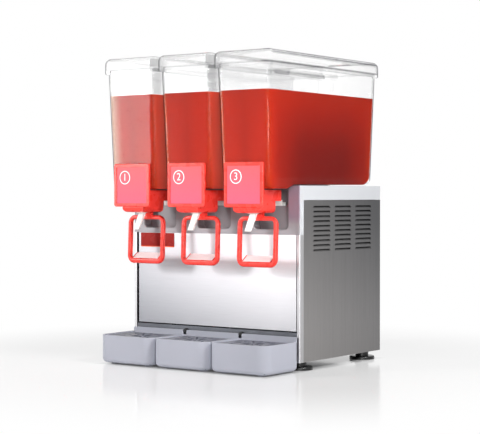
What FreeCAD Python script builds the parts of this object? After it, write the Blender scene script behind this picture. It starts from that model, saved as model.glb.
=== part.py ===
import FreeCAD, Part
import math
import os

# A counter-top machine that keeps cold drinks in three clear lift-off bowls.
# +X is to the user's right, -Y is the side with the taps and +Z is up.
# The origin lies on the counter under the middle of the whole machine.

# Layout of the whole machine
BAYS = ("left", "centre", "right")
BAY_WIDTH = 143.4
CABINET_DEPTH = 314.0
CABINET_HEIGHT = 355.0
FOOT_HEIGHT = 18.0
TRAY_REACH = 119.0
RIM_TAIL = 2.0

# How far a cutting shape runs past what it cuts, and a joined shape runs into its neighbour
LAP = 1.0
# Keeps a full round from closing up
ROUND_MARGIN = 0.1

# Sheet metal
PANEL_SHEET = 1.2
PAN_SHEET = 1.5
PANEL_GAP = 0.3

# Top deck with its front recesses
DECK_WALL = 2.5
DECK_SKIRT = 99.0
DECK_BAND = 29.0
DECK_CORNER_STRIP = 13.5
DECK_CORNER_RADIUS = 3.0
RECESS_WIDTH = 88.0
RECESS_LIP = 10.0
RECESS_BACK_HEIGHT = 48.0
RECESS_DEPTH = 25.0
POCKET_DEPTH = 45.0
RECESS_CORNER = 10.0

# Front posts and front panel
POST_FACE = 7.0
POST_WALL = 2.0
FRONT_PANEL_SIDE_GAP = 4.0
FRONT_PANEL_SETBACK = 3.0
FRONT_PANEL_BOTTOM = 62.5
FRONT_PANEL_RETURN = 9.0
NAME_PLATE_WIDTH = 91.0
NAME_PLATE_HEIGHT = 30.0
NAME_PLATE_THICK = 1.0
NAME_PLATE_INSET = 6.0
NAME_PLATE_TOP_GAP = 1.0
NAME_PLATE_CORNER = 1.5

# Louvres in both side panels
LOUVRE_COLUMNS = 3
LOUVRE_ROWS = 10
LOUVRE_LENGTH = 66.5
LOUVRE_COLUMN_PITCH = 81.2
LOUVRE_ROW_PITCH = 9.8
LOUVRE_OPENING = 5.0
LOUVRE_END_SLANT = 2.6
LOUVRE_DEPTH = 4.0
LOUVRE_TOP = 41.0
LOUVRE_START = 47.5

# Base pan and feet
PAN_FLANGE = 24.0
PAN_FRONT_SETBACK = 2.0
FOOT_DIAMETER = 54.0
FOOT_DISC = 7.0
FOOT_STEM_DIAMETER = 28.0
FOOT_STUD_DIAMETER = 8.0
FOOT_SIDE_INSET = 27.6
FOOT_FRONT_INSET = 40.0
FOOT_REAR_INSET = 30.0
FOOT_HEAD = 3.0
FOOT_EDGE = 2.3
FOOT_STUD_CLEARANCE = 0.3

# Rear panel, its vents and the controls on it
REAR_RECESS = 15.0
REAR_PANEL_LAP = 9.7
REAR_VENT_COLUMNS = 2
REAR_VENT_ROWS = 12
REAR_VENT_LENGTH = 78.0
REAR_VENT_COLUMN_PITCH = 88.0
REAR_VENT_ROW_PITCH = 12.0
REAR_VENT_HEIGHT = 5.0
REAR_VENT_BOTTOM = 30.0
CONTROL_X = -118.0
CONTROL_Z = 232.0
CONTROL_PITCH = 46.0
SWITCH_WIDTH = 22.0
SWITCH_HEIGHT = 30.0
SWITCH_BEZEL = 3.0
SWITCH_BEZEL_THICK = 2.0
SWITCH_WALL = 1.5
SWITCH_FLOOR = 4.0
SWITCH_BODY_DEPTH = 20.0
CUTOUT_CLEARANCE = 0.2
ROCKER_CLEARANCE = 0.6
ROCKER_TILT = 10.0
ROCKER_PROUD = 4.0
ROCKER_PIN = 3.0
ROCKER_KEEL = 5.0
ROCKER_KEEL_INSET = 2.0
ROCKER_END_GAP = 0.5
ROCKER_DIP = 1.5
ROCKER_EDGE = 0.8
KNOB_DIAMETER = 32.0
KNOB_DEPTH = 12.0
KNOB_SHAFT = 6.0
KNOB_SHAFT_LENGTH = 17.0
KNOB_GAP = 0.6
KNOB_GROOVES = 12
KNOB_GROOVE = 2.4
KNOB_POINTER = 1.8
KNOB_POINTER_START = 4.0
KNOB_POINTER_INSET = 3.0
KNOB_POINTER_PROUD = 0.6
KNOB_SKIRT = 3.0
KNOB_EDGE = 2.0
THERMOSTAT_SIZE = 34.0
THERMOSTAT_DEPTH = 26.0
THERMOSTAT_CORNER = 3.0
INLET_WIDTH = 30.0
INLET_HEIGHT = 24.0
INLET_FLANGE = 50.0
INLET_WALL = 3.0
INLET_DEPTH = 22.0
INLET_PIN_PITCH = 7.0
INLET_PIN_THICK = 2.0
INLET_PIN_HEIGHT = 4.0
INLET_PIN_DROP = 2.0
INLET_EARTH_RISE = 2.5
INLET_PIN_SETBACK = 2.0
INLET_CORNER = 4.0
INLET_KEYING = 4.0
INLET_DROP = 70.0

# Bowls
RIM_GAP = 1.6
RIM_SIDE_OVERHANG = 7.0
RIM_END_OVERHANG = 4.0
RIM_DEPTH = 9.0
BOWL_HEIGHT = 242.0
BOWL_WALL = 3.0
BOWL_FRONT_REACH = 100.0
BOWL_SIDE_DRAFT = 1.0
BOWL_END_DRAFT = 2.9
BOWL_CORNER = 12.0
BOWL_REAR_BEND = 38.0
BOWL_FRONT_BEND = 10.0
SUMP_DROP = 9.0
SUMP_LENGTH = 62.0
RIM_CORNER = 14.0
RIM_UNDER_BEND = 3.5

# Lids
LID_HEIGHT = 25.0
LID_WALL = 2.4
LID_EDGE_BEND = 13.0
LID_LIP = 6.0
LID_LIP_CLEARANCE = 0.6

# Cooling plates, stirrers and their magnetic drives
PLATE_Y = 120.0
PLATE_DIAMETER = 96.0
PLATE_HEIGHT = 20.0
PLATE_WALL = 1.6
PLATE_PIN_DIAMETER = 6.0
PLATE_PIN_HEIGHT = 17.0
PLATE_PIN_ROOT = 0.5
GASKET_WIDTH = 4.0
GASKET_HEIGHT = 6.0
GASKET_CLEARANCE = 0.3
GASKET_EDGE = 1.5
DECK_HOLE_DIAMETER = 76.0
ROTOR_DIAMETER = 58.0
ROTOR_THICK = 8.0
ROTOR_GAP = 2.0
ROTOR_BOSS = 1.0
MOTOR_DIAMETER = 62.0
MOTOR_HEIGHT = 40.0
MOTOR_FLANGE_DIAMETER = 96.0
MOTOR_FLANGE = 2.5
MOTOR_EDGE = 3.0
MOTOR_SHAFT_DIAMETER = 6.0
MOTOR_SHAFT_LENGTH = 24.0
SHAFT_END_GAP = 1.0
RUNNING_CLEARANCE = 0.05
IMPELLER_RADIUS = 40.0
IMPELLER_HUB_DIAMETER = 18.0
IMPELLER_BASE_DIAMETER = 56.0
IMPELLER_BASE = 5.0
IMPELLER_HEIGHT = 16.0
IMPELLER_BLADE = 2.6
IMPELLER_BLADES = 4
IMPELLER_LIFT = 0.4
IMPELLER_START_ANGLE = 45.0
IMPELLER_BLADE_FOOT = 1.0
IMPELLER_BLADE_HEAD = 2.0

# Taps
COVER_WIDTH = 95.0
COVER_RISE = 46.0
COVER_HEIGHT = 89.5
COVER_THICK = 4.8
COVER_CORNER = 5.0
COVER_RIM = 7.0
COVER_RECESS = 1.6
COVER_CLEARANCE = 0.4
COVER_EDGE = 1.5
TAP_WIDTH = 56.0
TAP_HEIGHT = 46.0
TAP_LENGTH = 67.0
TAP_BEND = 9.0
TAP_TAIL_LENGTH = 21.0
TAP_TAIL_HEIGHT = 22.0
SPIGOT_OUTER = 27.0
SPIGOT_BORE = 12.0
SPIGOT_LENGTH = 10.0
SPIGOT_CLEARANCE = 0.3
PISTON_DIAMETER = 16.0
PISTON_LENGTH = 28.0
PISTON_BELOW_PIVOT = 8.0
PISTON_TIP_LENGTH = 5.0
PISTON_TIP_BASE = 14.0
PISTON_TIP_TOP = 8.0
PISTON_FLUTE = 3.0
PISTON_SETBACK = 30.0
PISTON_CLEARANCE = 0.08
PISTON_WINDOW = 8.0
PIVOT_SETBACK = 18.0
PIVOT_RISE = 13.0
PIVOT_DIAMETER = 8.0
PIVOT_GRIP = 7.0
PIVOT_END_GAP = 0.5
NECK_WIDTH = 24.0
NECK_THICK = 10.0
NECK_HEAD = 14.0
NECK_CLEARANCE = 1.0
CAVITY_FRONT = 9.0
CAVITY_REAR = 11.0
FINGER_WIDTH = 5.0
FINGER_THICK = 3.2
FINGER_OVERRUN = 2.0
FINGER_SLOT_BELOW = 9.6
FINGER_SLOT_ABOVE = 6.4
RING_WIDTH = 97.0
RING_HEIGHT = 102.0
RING_SIDE_BAR = 9.0
RING_TOP_BAR = 9.0
RING_BOTTOM_BAR = 11.0
RING_DEPTH = 10.0
RING_CORNER = 17.0
RING_INNER_CORNER = 6.0
RING_EDGE = 3.6
RING_DROP = 6.5
RING_LEAN = 2.2
PAD_THICK = 2.5
PAD_RUN = 13.0
PAD_RISE = 12.5
PAD_HALF = 33.0
PAD_GUSSET = 3.0
PAD_GUSSET_GAP = 0.2
SPOUT_WIDTH = 14.0
SPOUT_WALL = 2.0
SPOUT_LIP = 5.0
SPOUT_LIP_FOOT = 1.0
SPOUT_DROP = 36.0
SPOUT_THROW = 20.0
SPOUT_COLLAR = 22.0
SPOUT_COLLAR_THICK = 1.6

# Catches that stand on the ledge behind each tap
CATCH_WIDTH = 20.0
CATCH_WALL = 2.5
CATCH_FRONT_LEG = 12.0
CATCH_REAR_LEG = 7.0
CATCH_DEPTH = 14.0
CATCH_SETBACK = 1.0

# Drip trays and their grids
TRAY_GAP = 1.2
TRAY_FLOOR_GAP = 3.0
TRAY_HEIGHT = 57.8
TRAY_CORNER = 24.0
TRAY_BEND = 9.0
TRAY_WALL = 3.0
TRAY_REAR_GAP = 4.0
TRAY_REAR_CORNER = 10.0
TRAY_UPSTAND = 9.2
TRAY_UPSTAND_CORNER = 2.0
TRAY_FOOT_DIAMETER = 16.0
TRAY_FOOT_INSET = 26.0
TRAY_LEDGE = 2.0
TRAY_PIT_MARGIN = 0.5
GRID_THICK = 2.5
GRID_DROP = 3.0
GRID_CLEARANCE = 0.5
GRID_LEAVES = 12
GRID_LEAF_INNER = 7.0
GRID_LEAF_OUTER = 26.0
GRID_LEAF_WIDTH = 6.5
GRID_OUTER_LEAVES = 16
GRID_OUTER_INNER = 32.0
GRID_OUTER_OUTER = 50.0
PEG_DIAMETER = 9.0
PEG_LENGTH = 8.0
PEG_RISE = 51.0
PEG_CLEARANCE = 0.3
PEG_EDGE = 1.5

# Refrigeration
COMPRESSOR_DIAMETER = 118.0
COMPRESSOR_HEIGHT = 128.0
COMPRESSOR_DOME = 26.0
COMPRESSOR_X = -118.0
COMPRESSOR_Y = 118.0
COMPRESSOR_BASE = 150.0
COMPRESSOR_BASE_WIDTH = 96.0
COMPRESSOR_BASE_THICK = 3.0
COMPRESSOR_BASE_CORNER = 8.0
COMPRESSOR_SEAM = 3.0
COMPRESSOR_FOOT = 18.0
COMPRESSOR_FOOT_HEIGHT = 12.0
COMPRESSOR_FOOT_INSET = 14.0
TERMINAL_WIDTH = 44.0
TERMINAL_HEIGHT = 38.0
TERMINAL_PROUD = 12.0
TERMINAL_RISE = 26.0
DISCHARGE_PIPE = 8.0
DISCHARGE_STUB = 22.0
CAN_LAP = 8.0
CONDENSER_X = 84.0
CONDENSER_WIDTH = 176.0
CONDENSER_HEIGHT = 158.0
CONDENSER_DEPTH = 44.0
CONDENSER_GAP = 8.0
CONDENSER_FINS = 22
CONDENSER_FIN = 1.0
CONDENSER_END_PLATE = 2.0
CONDENSER_TUBE = 8.0
CONDENSER_TUBE_ROWS = 5
CONDENSER_TUBE_PROUD = 4.0
CONDENSER_FIN_SETBACK = 2.0
CONDENSER_FIN_CLEAR = 4.0
SHROUD_SHEET = 1.5
SHROUD_DEPTH = 14.0
FAN_DIAMETER = 130.0
FAN_TIP_GAP = 4.0
FAN_HUB = 38.0
FAN_HUB_LENGTH = 16.0
FAN_BLADES = 5
FAN_BLADE_THICK = 2.0
FAN_BLADE_CHORD = 34.0
FAN_BLADE_PITCH = 28.0
FAN_BLADE_ROOT = 4.0
FAN_MOTOR_DIAMETER = 58.0
FAN_MOTOR_LENGTH = 42.0
FAN_MOTOR_GAP = 3.0
FAN_SHAFT_DIAMETER = 6.0
FAN_SHAFT_GRIP = 12.0
FAN_ARM = 10.0
FAN_ARM_THICK = 2.5
FAN_ARM_PLACE = 4.0
FAN_ARM_ROOT = 3.0

# Folded edges
FLANGE_WIDTH = 14.0

# Places worked out from the sizes above
CABINET_WIDTH = len(BAYS) * BAY_WIDTH
SIDE = CABINET_WIDTH / 2
FRONT = (TRAY_REACH - CABINET_DEPTH - RIM_TAIL) / 2
REAR = FRONT + CABINET_DEPTH
BASE = FOOT_HEIGHT
DECK_TOP = BASE + CABINET_HEIGHT
SKIRT_BOTTOM = DECK_TOP - DECK_SKIRT
BAND_BOTTOM = DECK_TOP - DECK_BAND
RECESS_FLOOR = SKIRT_BOTTOM + RECESS_LIP
RECESS_LEDGE = RECESS_FLOOR + RECESS_BACK_HEIGHT
REAR_PANEL_FACE = REAR - REAR_RECESS
PAN_TOP = BASE + PAN_SHEET
RIM_TOP = DECK_TOP + BOWL_HEIGHT
SUMP = DECK_TOP - SUMP_DROP
RIM_HALF = (BAY_WIDTH - RIM_GAP) / 2
RIM_FRONT = FRONT - BOWL_FRONT_REACH - RIM_END_OVERHANG
RIM_REAR = REAR + RIM_TAIL
PLATE_CENTRE = FRONT + PLATE_Y
PLATE_TOP = DECK_TOP + PLATE_HEIGHT
COVER_TOP = DECK_TOP + COVER_RISE
COVER_BOTTOM = COVER_TOP - COVER_HEIGHT
TAP_BOTTOM = SUMP - TAP_HEIGHT
TAP_TOP = SUMP
PIVOT_Z = TAP_BOTTOM + PIVOT_RISE
TRAY_HALF = (BAY_WIDTH - TRAY_GAP) / 2
TRAY_FRONT = FRONT - TRAY_REACH
TRAY_REAR = FRONT - TRAY_REAR_GAP
TRAY_TOP = TRAY_FLOOR_GAP + TRAY_HEIGHT
GRID_TOP = TRAY_TOP - GRID_DROP
GRID_BOTTOM = GRID_TOP - GRID_THICK
PAN_FRONT = FRONT + PAN_FRONT_SETBACK


def bay_x(index):
    return (index - (len(BAYS) - 1) / 2) * BAY_WIDTH


def vec(x, y, z):
    return FreeCAD.Vector(x, y, z)


def box(x0, x1, y0, y1, z0, z1):
    return Part.makeBox(x1 - x0, y1 - y0, z1 - z0, vec(x0, y0, z0))


def rod(x, y, z, radius, length, direction=(0, 0, 1)):
    return Part.makeCylinder(radius, length, vec(x, y, z), vec(*direction))


def join(shapes):
    first = shapes[0]
    whole = first.fuse(list(shapes[1:])) if len(shapes) > 1 else first
    return whole.removeSplitter()


def without(shape, cutters):
    return shape.cut(list(cutters))


def rounded_wire(x0, x1, y0, y1, z, front_radius, rear_radius):
    """Rectangle at height z whose corners are arcs, drawn anticlockwise from above."""
    f = front_radius
    r = rear_radius
    s = math.sqrt(0.5)
    p = [
        (x0 + f, y0), (x1 - f, y0), (x1, y0 + f), (x1, y1 - r),
        (x1 - r, y1), (x0 + r, y1), (x0, y1 - r), (x0, y0 + f),
    ]
    mid = [
        (x1 - f + f * s, y0 + f - f * s),
        (x1 - r + r * s, y1 - r + r * s),
        (x0 + r - r * s, y1 - r + r * s),
        (x0 + f - f * s, y0 + f - f * s),
    ]
    edges = []
    for k in range(4):
        a = p[2 * k]
        b = p[2 * k + 1]
        c = p[(2 * k + 2) % 8]
        m = mid[k]
        edges.append(Part.LineSegment(vec(a[0], a[1], z), vec(b[0], b[1], z)).toShape())
        edges.append(Part.Arc(vec(b[0], b[1], z), vec(m[0], m[1], z), vec(c[0], c[1], z)).toShape())
    return Part.Wire(edges)


def rounded_block(x0, x1, y0, y1, z0, z1, front_radius, rear_radius=None):
    rear = front_radius if rear_radius is None else rear_radius
    wire = rounded_wire(x0, x1, y0, y1, z0, front_radius, rear)
    return Part.Face(wire).extrude(vec(0, 0, z1 - z0))


def side_prism(points, x0, x1):
    """Prism along X whose outline is a list of (y, z) points."""
    outline = [vec(x0, y, z) for y, z in points]
    outline.append(outline[0])
    return Part.Face(Part.makePolygon(outline)).extrude(vec(x1 - x0, 0, 0))


def edges_along(shape, axis, test):
    """Straight edges that run along the axis and whose middle passes the test."""
    found = []
    for edge in shape.Edges:
        if edge.Curve.TypeId != "Part::GeomLine":
            continue
        a = edge.Vertexes[0].Point
        b = edge.Vertexes[-1].Point
        d = (b - a).normalize()
        if abs(d.dot(vec(*axis))) > 0.999 and test((a + b) * 0.5):
            found.append(edge)
    return found


def near(a, b, reach=0.05):
    return abs(a - b) < reach


def wall_front(z):
    """Outer front wall of a bowl at height z, which leans forward as it rises."""
    return FRONT - BOWL_FRONT_REACH + (RIM_TOP - z) * math.tan(math.radians(BOWL_END_DRAFT))


def wall_rear(z):
    return RIM_REAR - RIM_END_OVERHANG - (RIM_TOP - z) * math.tan(math.radians(BOWL_END_DRAFT))


def wall_half(z):
    return RIM_HALF - RIM_SIDE_OVERHANG - (RIM_TOP - z) * math.tan(math.radians(BOWL_SIDE_DRAFT))


# Bowls and lids
def bowl_form(inset, floor_raise, top):
    """Solid of the bowl drawn in by inset, with its floor raised by floor_raise."""
    low = SUMP - DECK_SKIRT
    wires = []
    for z in (low, top):
        half = wall_half(z) - inset
        wires.append(rounded_wire(-half, half, wall_front(z) + inset, wall_rear(z) - inset, z,
                                  BOWL_CORNER - inset, BOWL_CORNER - inset))
    tapered = Part.makeLoft(wires, True, True)
    sump = SUMP + floor_raise
    floor = DECK_TOP + floor_raise
    profile = side_prism(
        [
            (wall_front(sump) + inset, sump),
            (wall_front(SUMP) + SUMP_LENGTH, sump),
            (FRONT, floor),
            (wall_rear(floor) - inset, floor),
            (wall_rear(top) - inset, top),
            (wall_front(top) + inset, top),
        ],
        -BAY_WIDTH, BAY_WIDTH,
    )
    rear = wall_rear(floor) - inset
    bends = edges_along(profile, (1, 0, 0), lambda m: near(m.y, rear) and near(m.z, floor))
    profile = profile.makeFillet(BOWL_REAR_BEND - inset, bends)
    front = wall_front(sump) + inset
    bends = edges_along(profile, (1, 0, 0), lambda m: near(m.y, front) and near(m.z, sump))
    profile = profile.makeFillet(BOWL_FRONT_BEND - inset, bends)
    return tapered.common(profile)


def make_bowl():
    outer = bowl_form(0.0, 0.0, RIM_TOP)
    inner = bowl_form(BOWL_WALL, BOWL_WALL, RIM_TOP)
    rim = rounded_block(-RIM_HALF, RIM_HALF, RIM_FRONT, RIM_REAR, RIM_TOP - RIM_DEPTH, RIM_TOP, RIM_CORNER)
    under = [e for e in rim.Edges if all(near(v.Point.z, RIM_TOP - RIM_DEPTH) for v in e.Vertexes)]
    rim = rim.makeFillet(RIM_UNDER_BEND, under)
    spigot = rod(0, piston_y(), SUMP - SPIGOT_LENGTH, SPIGOT_OUTER / 2, SPIGOT_LENGTH + BOWL_WALL)
    body = join([outer, rim, spigot])
    hole = rod(0, PLATE_CENTRE, DECK_TOP - BOWL_WALL, bowl_hole_radius(), 3 * BOWL_WALL)
    outlet = rod(0, piston_y(), SUMP - 2 * SPIGOT_LENGTH, SPIGOT_BORE / 2, 3 * SPIGOT_LENGTH)
    return without(body, [inner, hole, outlet])


def make_lid():
    z0 = RIM_TOP
    z1 = RIM_TOP + LID_HEIGHT
    shell = rounded_block(-RIM_HALF, RIM_HALF, RIM_FRONT, RIM_REAR, z0, z1, RIM_CORNER)
    upper = [e for e in shell.Edges if all(near(v.Point.z, z1) for v in e.Vertexes)]
    shell = shell.makeFillet(LID_EDGE_BEND, upper)
    w = LID_WALL
    core = rounded_block(-RIM_HALF + w, RIM_HALF - w, RIM_FRONT + w, RIM_REAR - w, z0 - LAP, z1 - w,
                         RIM_CORNER - w)
    upper = [e for e in core.Edges if all(near(v.Point.z, z1 - w) for v in e.Vertexes)]
    core = core.makeFillet(LID_EDGE_BEND - w, upper)
    seat_in = BOWL_WALL + LID_LIP_CLEARANCE
    half = wall_half(z0 - LID_LIP) - seat_in
    front = wall_front(z0 - LID_LIP) + seat_in
    rear = wall_rear(z0 - LID_LIP) - seat_in
    corner = BOWL_CORNER - seat_in
    lip = rounded_block(-half, half, front, rear, z0 - LID_LIP, z0 + w, corner)
    flange = rounded_block(-RIM_HALF, RIM_HALF, RIM_FRONT, RIM_REAR, z0, z0 + w, RIM_CORNER)
    opening = rounded_block(-half + w, half - w, front + w, rear - w, z0 - 2 * LID_LIP, z0 + 2 * w,
                            corner - w)
    return without(join([without(shell, [core]), flange, lip]), [opening])


# Taps
def piston_y():
    return tap_front() + PISTON_SETBACK


def pivot_y():
    return piston_y() + PIVOT_SETBACK


def tap_front():
    """The tap's front face, just ahead of the bowl wall where the cover ends."""
    return wall_front(COVER_TOP) - COVER_CLEARANCE


def bowl_hole_radius():
    return PLATE_DIAMETER / 2 + GASKET_WIDTH + 2 * GASKET_CLEARANCE


def make_tap_body():
    half = TAP_WIDTH / 2
    y0 = tap_front()
    y1 = y0 + TAP_LENGTH
    main = box(-half, half, y0, y1, TAP_BOTTOM, TAP_TOP)
    low = edges_along(main, (0, 1, 0), lambda m: near(m.z, TAP_BOTTOM))
    low += edges_along(main, (1, 0, 0), lambda m: near(m.z, TAP_BOTTOM) and near(m.y, y0))
    main = main.makeFillet(TAP_BEND, low)
    tail = box(-half, half, y1 - LAP, y1 + TAP_TAIL_LENGTH, TAP_TOP - TAP_TAIL_HEIGHT, TAP_TOP)
    body = join([main, tail])
    neck = NECK_WIDTH / 2 + NECK_CLEARANCE
    py = pivot_y()
    cavity = box(-neck, neck, py - CAVITY_FRONT, py + CAVITY_REAR, TAP_BOTTOM - LAP,
                 PIVOT_Z + NECK_HEAD / 2 + NECK_CLEARANCE)
    grip = neck + PIVOT_GRIP
    pivot = rod(-grip, py, PIVOT_Z, PIVOT_DIAMETER / 2 + RUNNING_CLEARANCE, 2 * grip, (1, 0, 0))
    bore = rod(0, piston_y(), TAP_BOTTOM - LAP, PISTON_DIAMETER / 2 + PISTON_CLEARANCE, TAP_HEIGHT + 2 * LAP)
    socket = rod(0, piston_y(), TAP_TOP - SPIGOT_LENGTH - SPIGOT_CLEARANCE,
                 SPIGOT_OUTER / 2 + SPIGOT_CLEARANCE, SPIGOT_LENGTH + LAP)
    slot_half = FINGER_WIDTH / 2 + NECK_CLEARANCE
    slot = box(-slot_half, slot_half, piston_y(), py, PIVOT_Z - FINGER_SLOT_BELOW,
               PIVOT_Z + FINGER_SLOT_ABOVE)
    return without(body, [cavity, pivot, bore, socket, slot])


def make_tap_cover():
    half = COVER_WIDTH / 2
    y1 = tap_front()
    y0 = y1 - COVER_THICK
    plate = box(-half, half, y0, y1, COVER_BOTTOM, COVER_TOP)
    plate = plate.makeFillet(COVER_CORNER, edges_along(plate, (0, 1, 0), lambda m: True))
    face = [e for e in plate.Edges if all(near(v.Point.y, y0) for v in e.Vertexes)]
    plate = plate.makeFillet(COVER_EDGE, face)
    r = COVER_RIM
    panel = box(-half + r, half - r, y0 - LAP, y0 + COVER_RECESS, COVER_BOTTOM + r, COVER_TOP - r)
    return without(plate, [panel])


def make_piston():
    """Valve piston whose soft tip shuts the bowl outlet from below; it opens downwards."""
    y = piston_y()
    z0 = PIVOT_Z - PISTON_BELOW_PIVOT
    z1 = z0 + PISTON_LENGTH
    body = rod(0, y, z0, PISTON_DIAMETER / 2, PISTON_LENGTH)
    tip = Part.makeCone(PISTON_TIP_BASE / 2, PISTON_TIP_TOP / 2, PISTON_TIP_LENGTH, vec(0, y, z1))
    half = FINGER_WIDTH / 2 + NECK_CLEARANCE
    window = box(-half, half, y - FINGER_OVERRUN - NECK_CLEARANCE, y + PISTON_DIAMETER,
                 PIVOT_Z - PISTON_WINDOW / 2, PIVOT_Z + PISTON_WINDOW / 2)
    flutes = []
    for angle in (45.0, 135.0, 225.0, 315.0):
        flute = box((PISTON_DIAMETER - PISTON_FLUTE) / 2, PISTON_DIAMETER,
                    -PISTON_FLUTE / 2, PISTON_FLUTE / 2, z0 - LAP, z1)
        flute.rotate(vec(0, 0, 0), vec(0, 0, 1), angle)
        flute.translate(vec(0, y, 0))
        flutes.append(flute)
    return without(join([body, tip]), [window] + flutes)


def make_spout():
    """White channel that leads the drink forward, below a round collar."""
    y = piston_y()
    top = TAP_BOTTOM
    collar = rod(0, y, top - SPOUT_COLLAR_THICK, SPOUT_COLLAR / 2, SPOUT_COLLAR_THICK)
    half = SPOUT_WIDTH / 2
    end_y = y - SPOUT_THROW
    end_z = top - SPOUT_DROP
    front = y - SPOUT_WALL / 2
    tongue = side_prism(
        [(front, top), (front + SPOUT_WALL, top), (end_y + SPOUT_WALL, end_z), (end_y, end_z)], -half, half)
    lips = []
    for x0, x1 in ((-half, -half + SPOUT_WALL), (half - SPOUT_WALL, half)):
        lips.append(side_prism(
            [(front, top), (front + SPOUT_WALL + SPOUT_LIP, top),
             (end_y + SPOUT_WALL + SPOUT_LIP_FOOT, end_z), (end_y, end_z)], x0, x1))
    spout = join([collar, tongue] + lips)
    bore = rod(0, y + SPOUT_WALL, top - SPOUT_COLLAR_THICK - LAP, half - SPOUT_WALL,
               SPOUT_COLLAR_THICK + 2 * LAP)
    ahead = box(-half, half, y - SPOUT_COLLAR, front, top - SPOUT_COLLAR_THICK - LAP, top + LAP)
    return without(spout, [bore.cut(box(-half, half, y - SPOUT_COLLAR, y + SPOUT_WALL / 2,
                                        top - 2 * SPOUT_COLLAR, top + LAP)),
                           ahead.common(bore)])


def make_lever():
    """Ring that a cup pushes back, with its neck, trunnions and valve finger."""
    py = pivot_y()
    top = TAP_BOTTOM - RING_DROP
    bottom = top - RING_HEIGHT
    half = RING_WIDTH / 2
    y0 = py - RING_DEPTH / 2
    y1 = py + RING_DEPTH / 2
    ring = box(-half, half, y0, y1, bottom, top)
    ring = ring.makeFillet(RING_CORNER, edges_along(ring, (0, 1, 0), lambda m: True))
    inner_half = half - RING_SIDE_BAR
    hole = box(-inner_half, inner_half, y0 - LAP, y1 + LAP, bottom + RING_BOTTOM_BAR, top - RING_TOP_BAR)
    hole = hole.makeFillet(RING_INNER_CORNER, edges_along(hole, (0, 1, 0), lambda m: True))
    ring = ring.cut(hole)
    rims = [e for e in ring.Edges if all(near(v.Point.y, y0) or near(v.Point.y, y1) for v in e.Vertexes)
            and near(e.Vertexes[0].Point.y, e.Vertexes[-1].Point.y)]
    ring = ring.makeFillet(RING_EDGE, rims)
    neck_half = NECK_WIDTH / 2
    neck = box(-neck_half, neck_half, py - NECK_THICK / 2, py + NECK_THICK / 2,
               top - RING_TOP_BAR / 2, PIVOT_Z)
    head = rod(-neck_half, py, PIVOT_Z, NECK_HEAD / 2, NECK_WIDTH, (1, 0, 0))
    floor = bottom + RING_BOTTOM_BAR
    gussets = []
    for x0 in (-PAD_HALF - PAD_GUSSET_GAP - PAD_GUSSET, PAD_HALF + PAD_GUSSET_GAP):
        gussets.append(side_prism(
            [(py - RING_EDGE, floor - RING_EDGE), (py - RING_EDGE, floor), (py + PAD_RUN, floor + PAD_RISE),
             (py + PAD_RUN + PAD_THICK, floor + PAD_RISE), (py + RING_EDGE, floor - 2 * RING_EDGE)],
            x0, x0 + PAD_GUSSET))
    hanging = join([ring, neck, head] + gussets)
    hanging.rotate(vec(0, py, PIVOT_Z), vec(1, 0, 0), -RING_LEAN)
    reach = neck_half + NECK_CLEARANCE + PIVOT_GRIP - PIVOT_END_GAP
    trunnions = rod(-reach, py, PIVOT_Z, PIVOT_DIAMETER / 2, 2 * reach, (1, 0, 0))
    finger = box(-FINGER_WIDTH / 2, FINGER_WIDTH / 2, piston_y() - FINGER_OVERRUN, py,
                 PIVOT_Z - FINGER_THICK / 2, PIVOT_Z + FINGER_THICK / 2)
    return join([hanging, trunnions, finger])


def make_push_pad():
    """Pale plate that the cup touches, standing on the foot of the ring."""
    py = pivot_y()
    floor = TAP_BOTTOM - RING_DROP - RING_HEIGHT + RING_BOTTOM_BAR
    lean = PAD_THICK * math.sqrt(2.0)
    pad = side_prism(
        [(py - RING_EDGE, floor), (py - RING_EDGE + lean, floor),
         (py + PAD_RUN + PAD_THICK, floor + PAD_RISE), (py + PAD_RUN + PAD_THICK - lean, floor + PAD_RISE)],
        -PAD_HALF, PAD_HALF)
    pad.rotate(vec(0, py, PIVOT_Z), vec(1, 0, 0), -RING_LEAN)
    return pad


# Cooling plates, stirrers and drives
def make_cooling_plate():
    z0 = DECK_TOP
    cup = rod(0, PLATE_CENTRE, z0, PLATE_DIAMETER / 2, PLATE_HEIGHT)
    rim = [e for e in cup.Edges if all(near(v.Point.z, PLATE_TOP) for v in e.Vertexes)]
    cup = cup.makeFillet(2 * PLATE_WALL, rim)
    hollow = rod(0, PLATE_CENTRE, z0 - LAP, PLATE_DIAMETER / 2 - PLATE_WALL, PLATE_HEIGHT - PLATE_WALL + LAP)
    pin = rod(0, PLATE_CENTRE, PLATE_TOP - PLATE_PIN_ROOT, PLATE_PIN_DIAMETER / 2,
              PLATE_PIN_HEIGHT + PLATE_PIN_ROOT)
    return join([without(cup, [hollow]), pin])


def make_gasket():
    inner = PLATE_DIAMETER / 2 + GASKET_CLEARANCE
    ring = rod(0, PLATE_CENTRE, DECK_TOP, inner + GASKET_WIDTH, GASKET_HEIGHT)
    ring = ring.cut(rod(0, PLATE_CENTRE, DECK_TOP - LAP, inner, GASKET_HEIGHT + 2 * LAP))
    upper = [e for e in ring.Edges if all(near(v.Point.z, DECK_TOP + GASKET_HEIGHT) for v in e.Vertexes)]
    return ring.makeFillet(GASKET_EDGE, upper)


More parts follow.
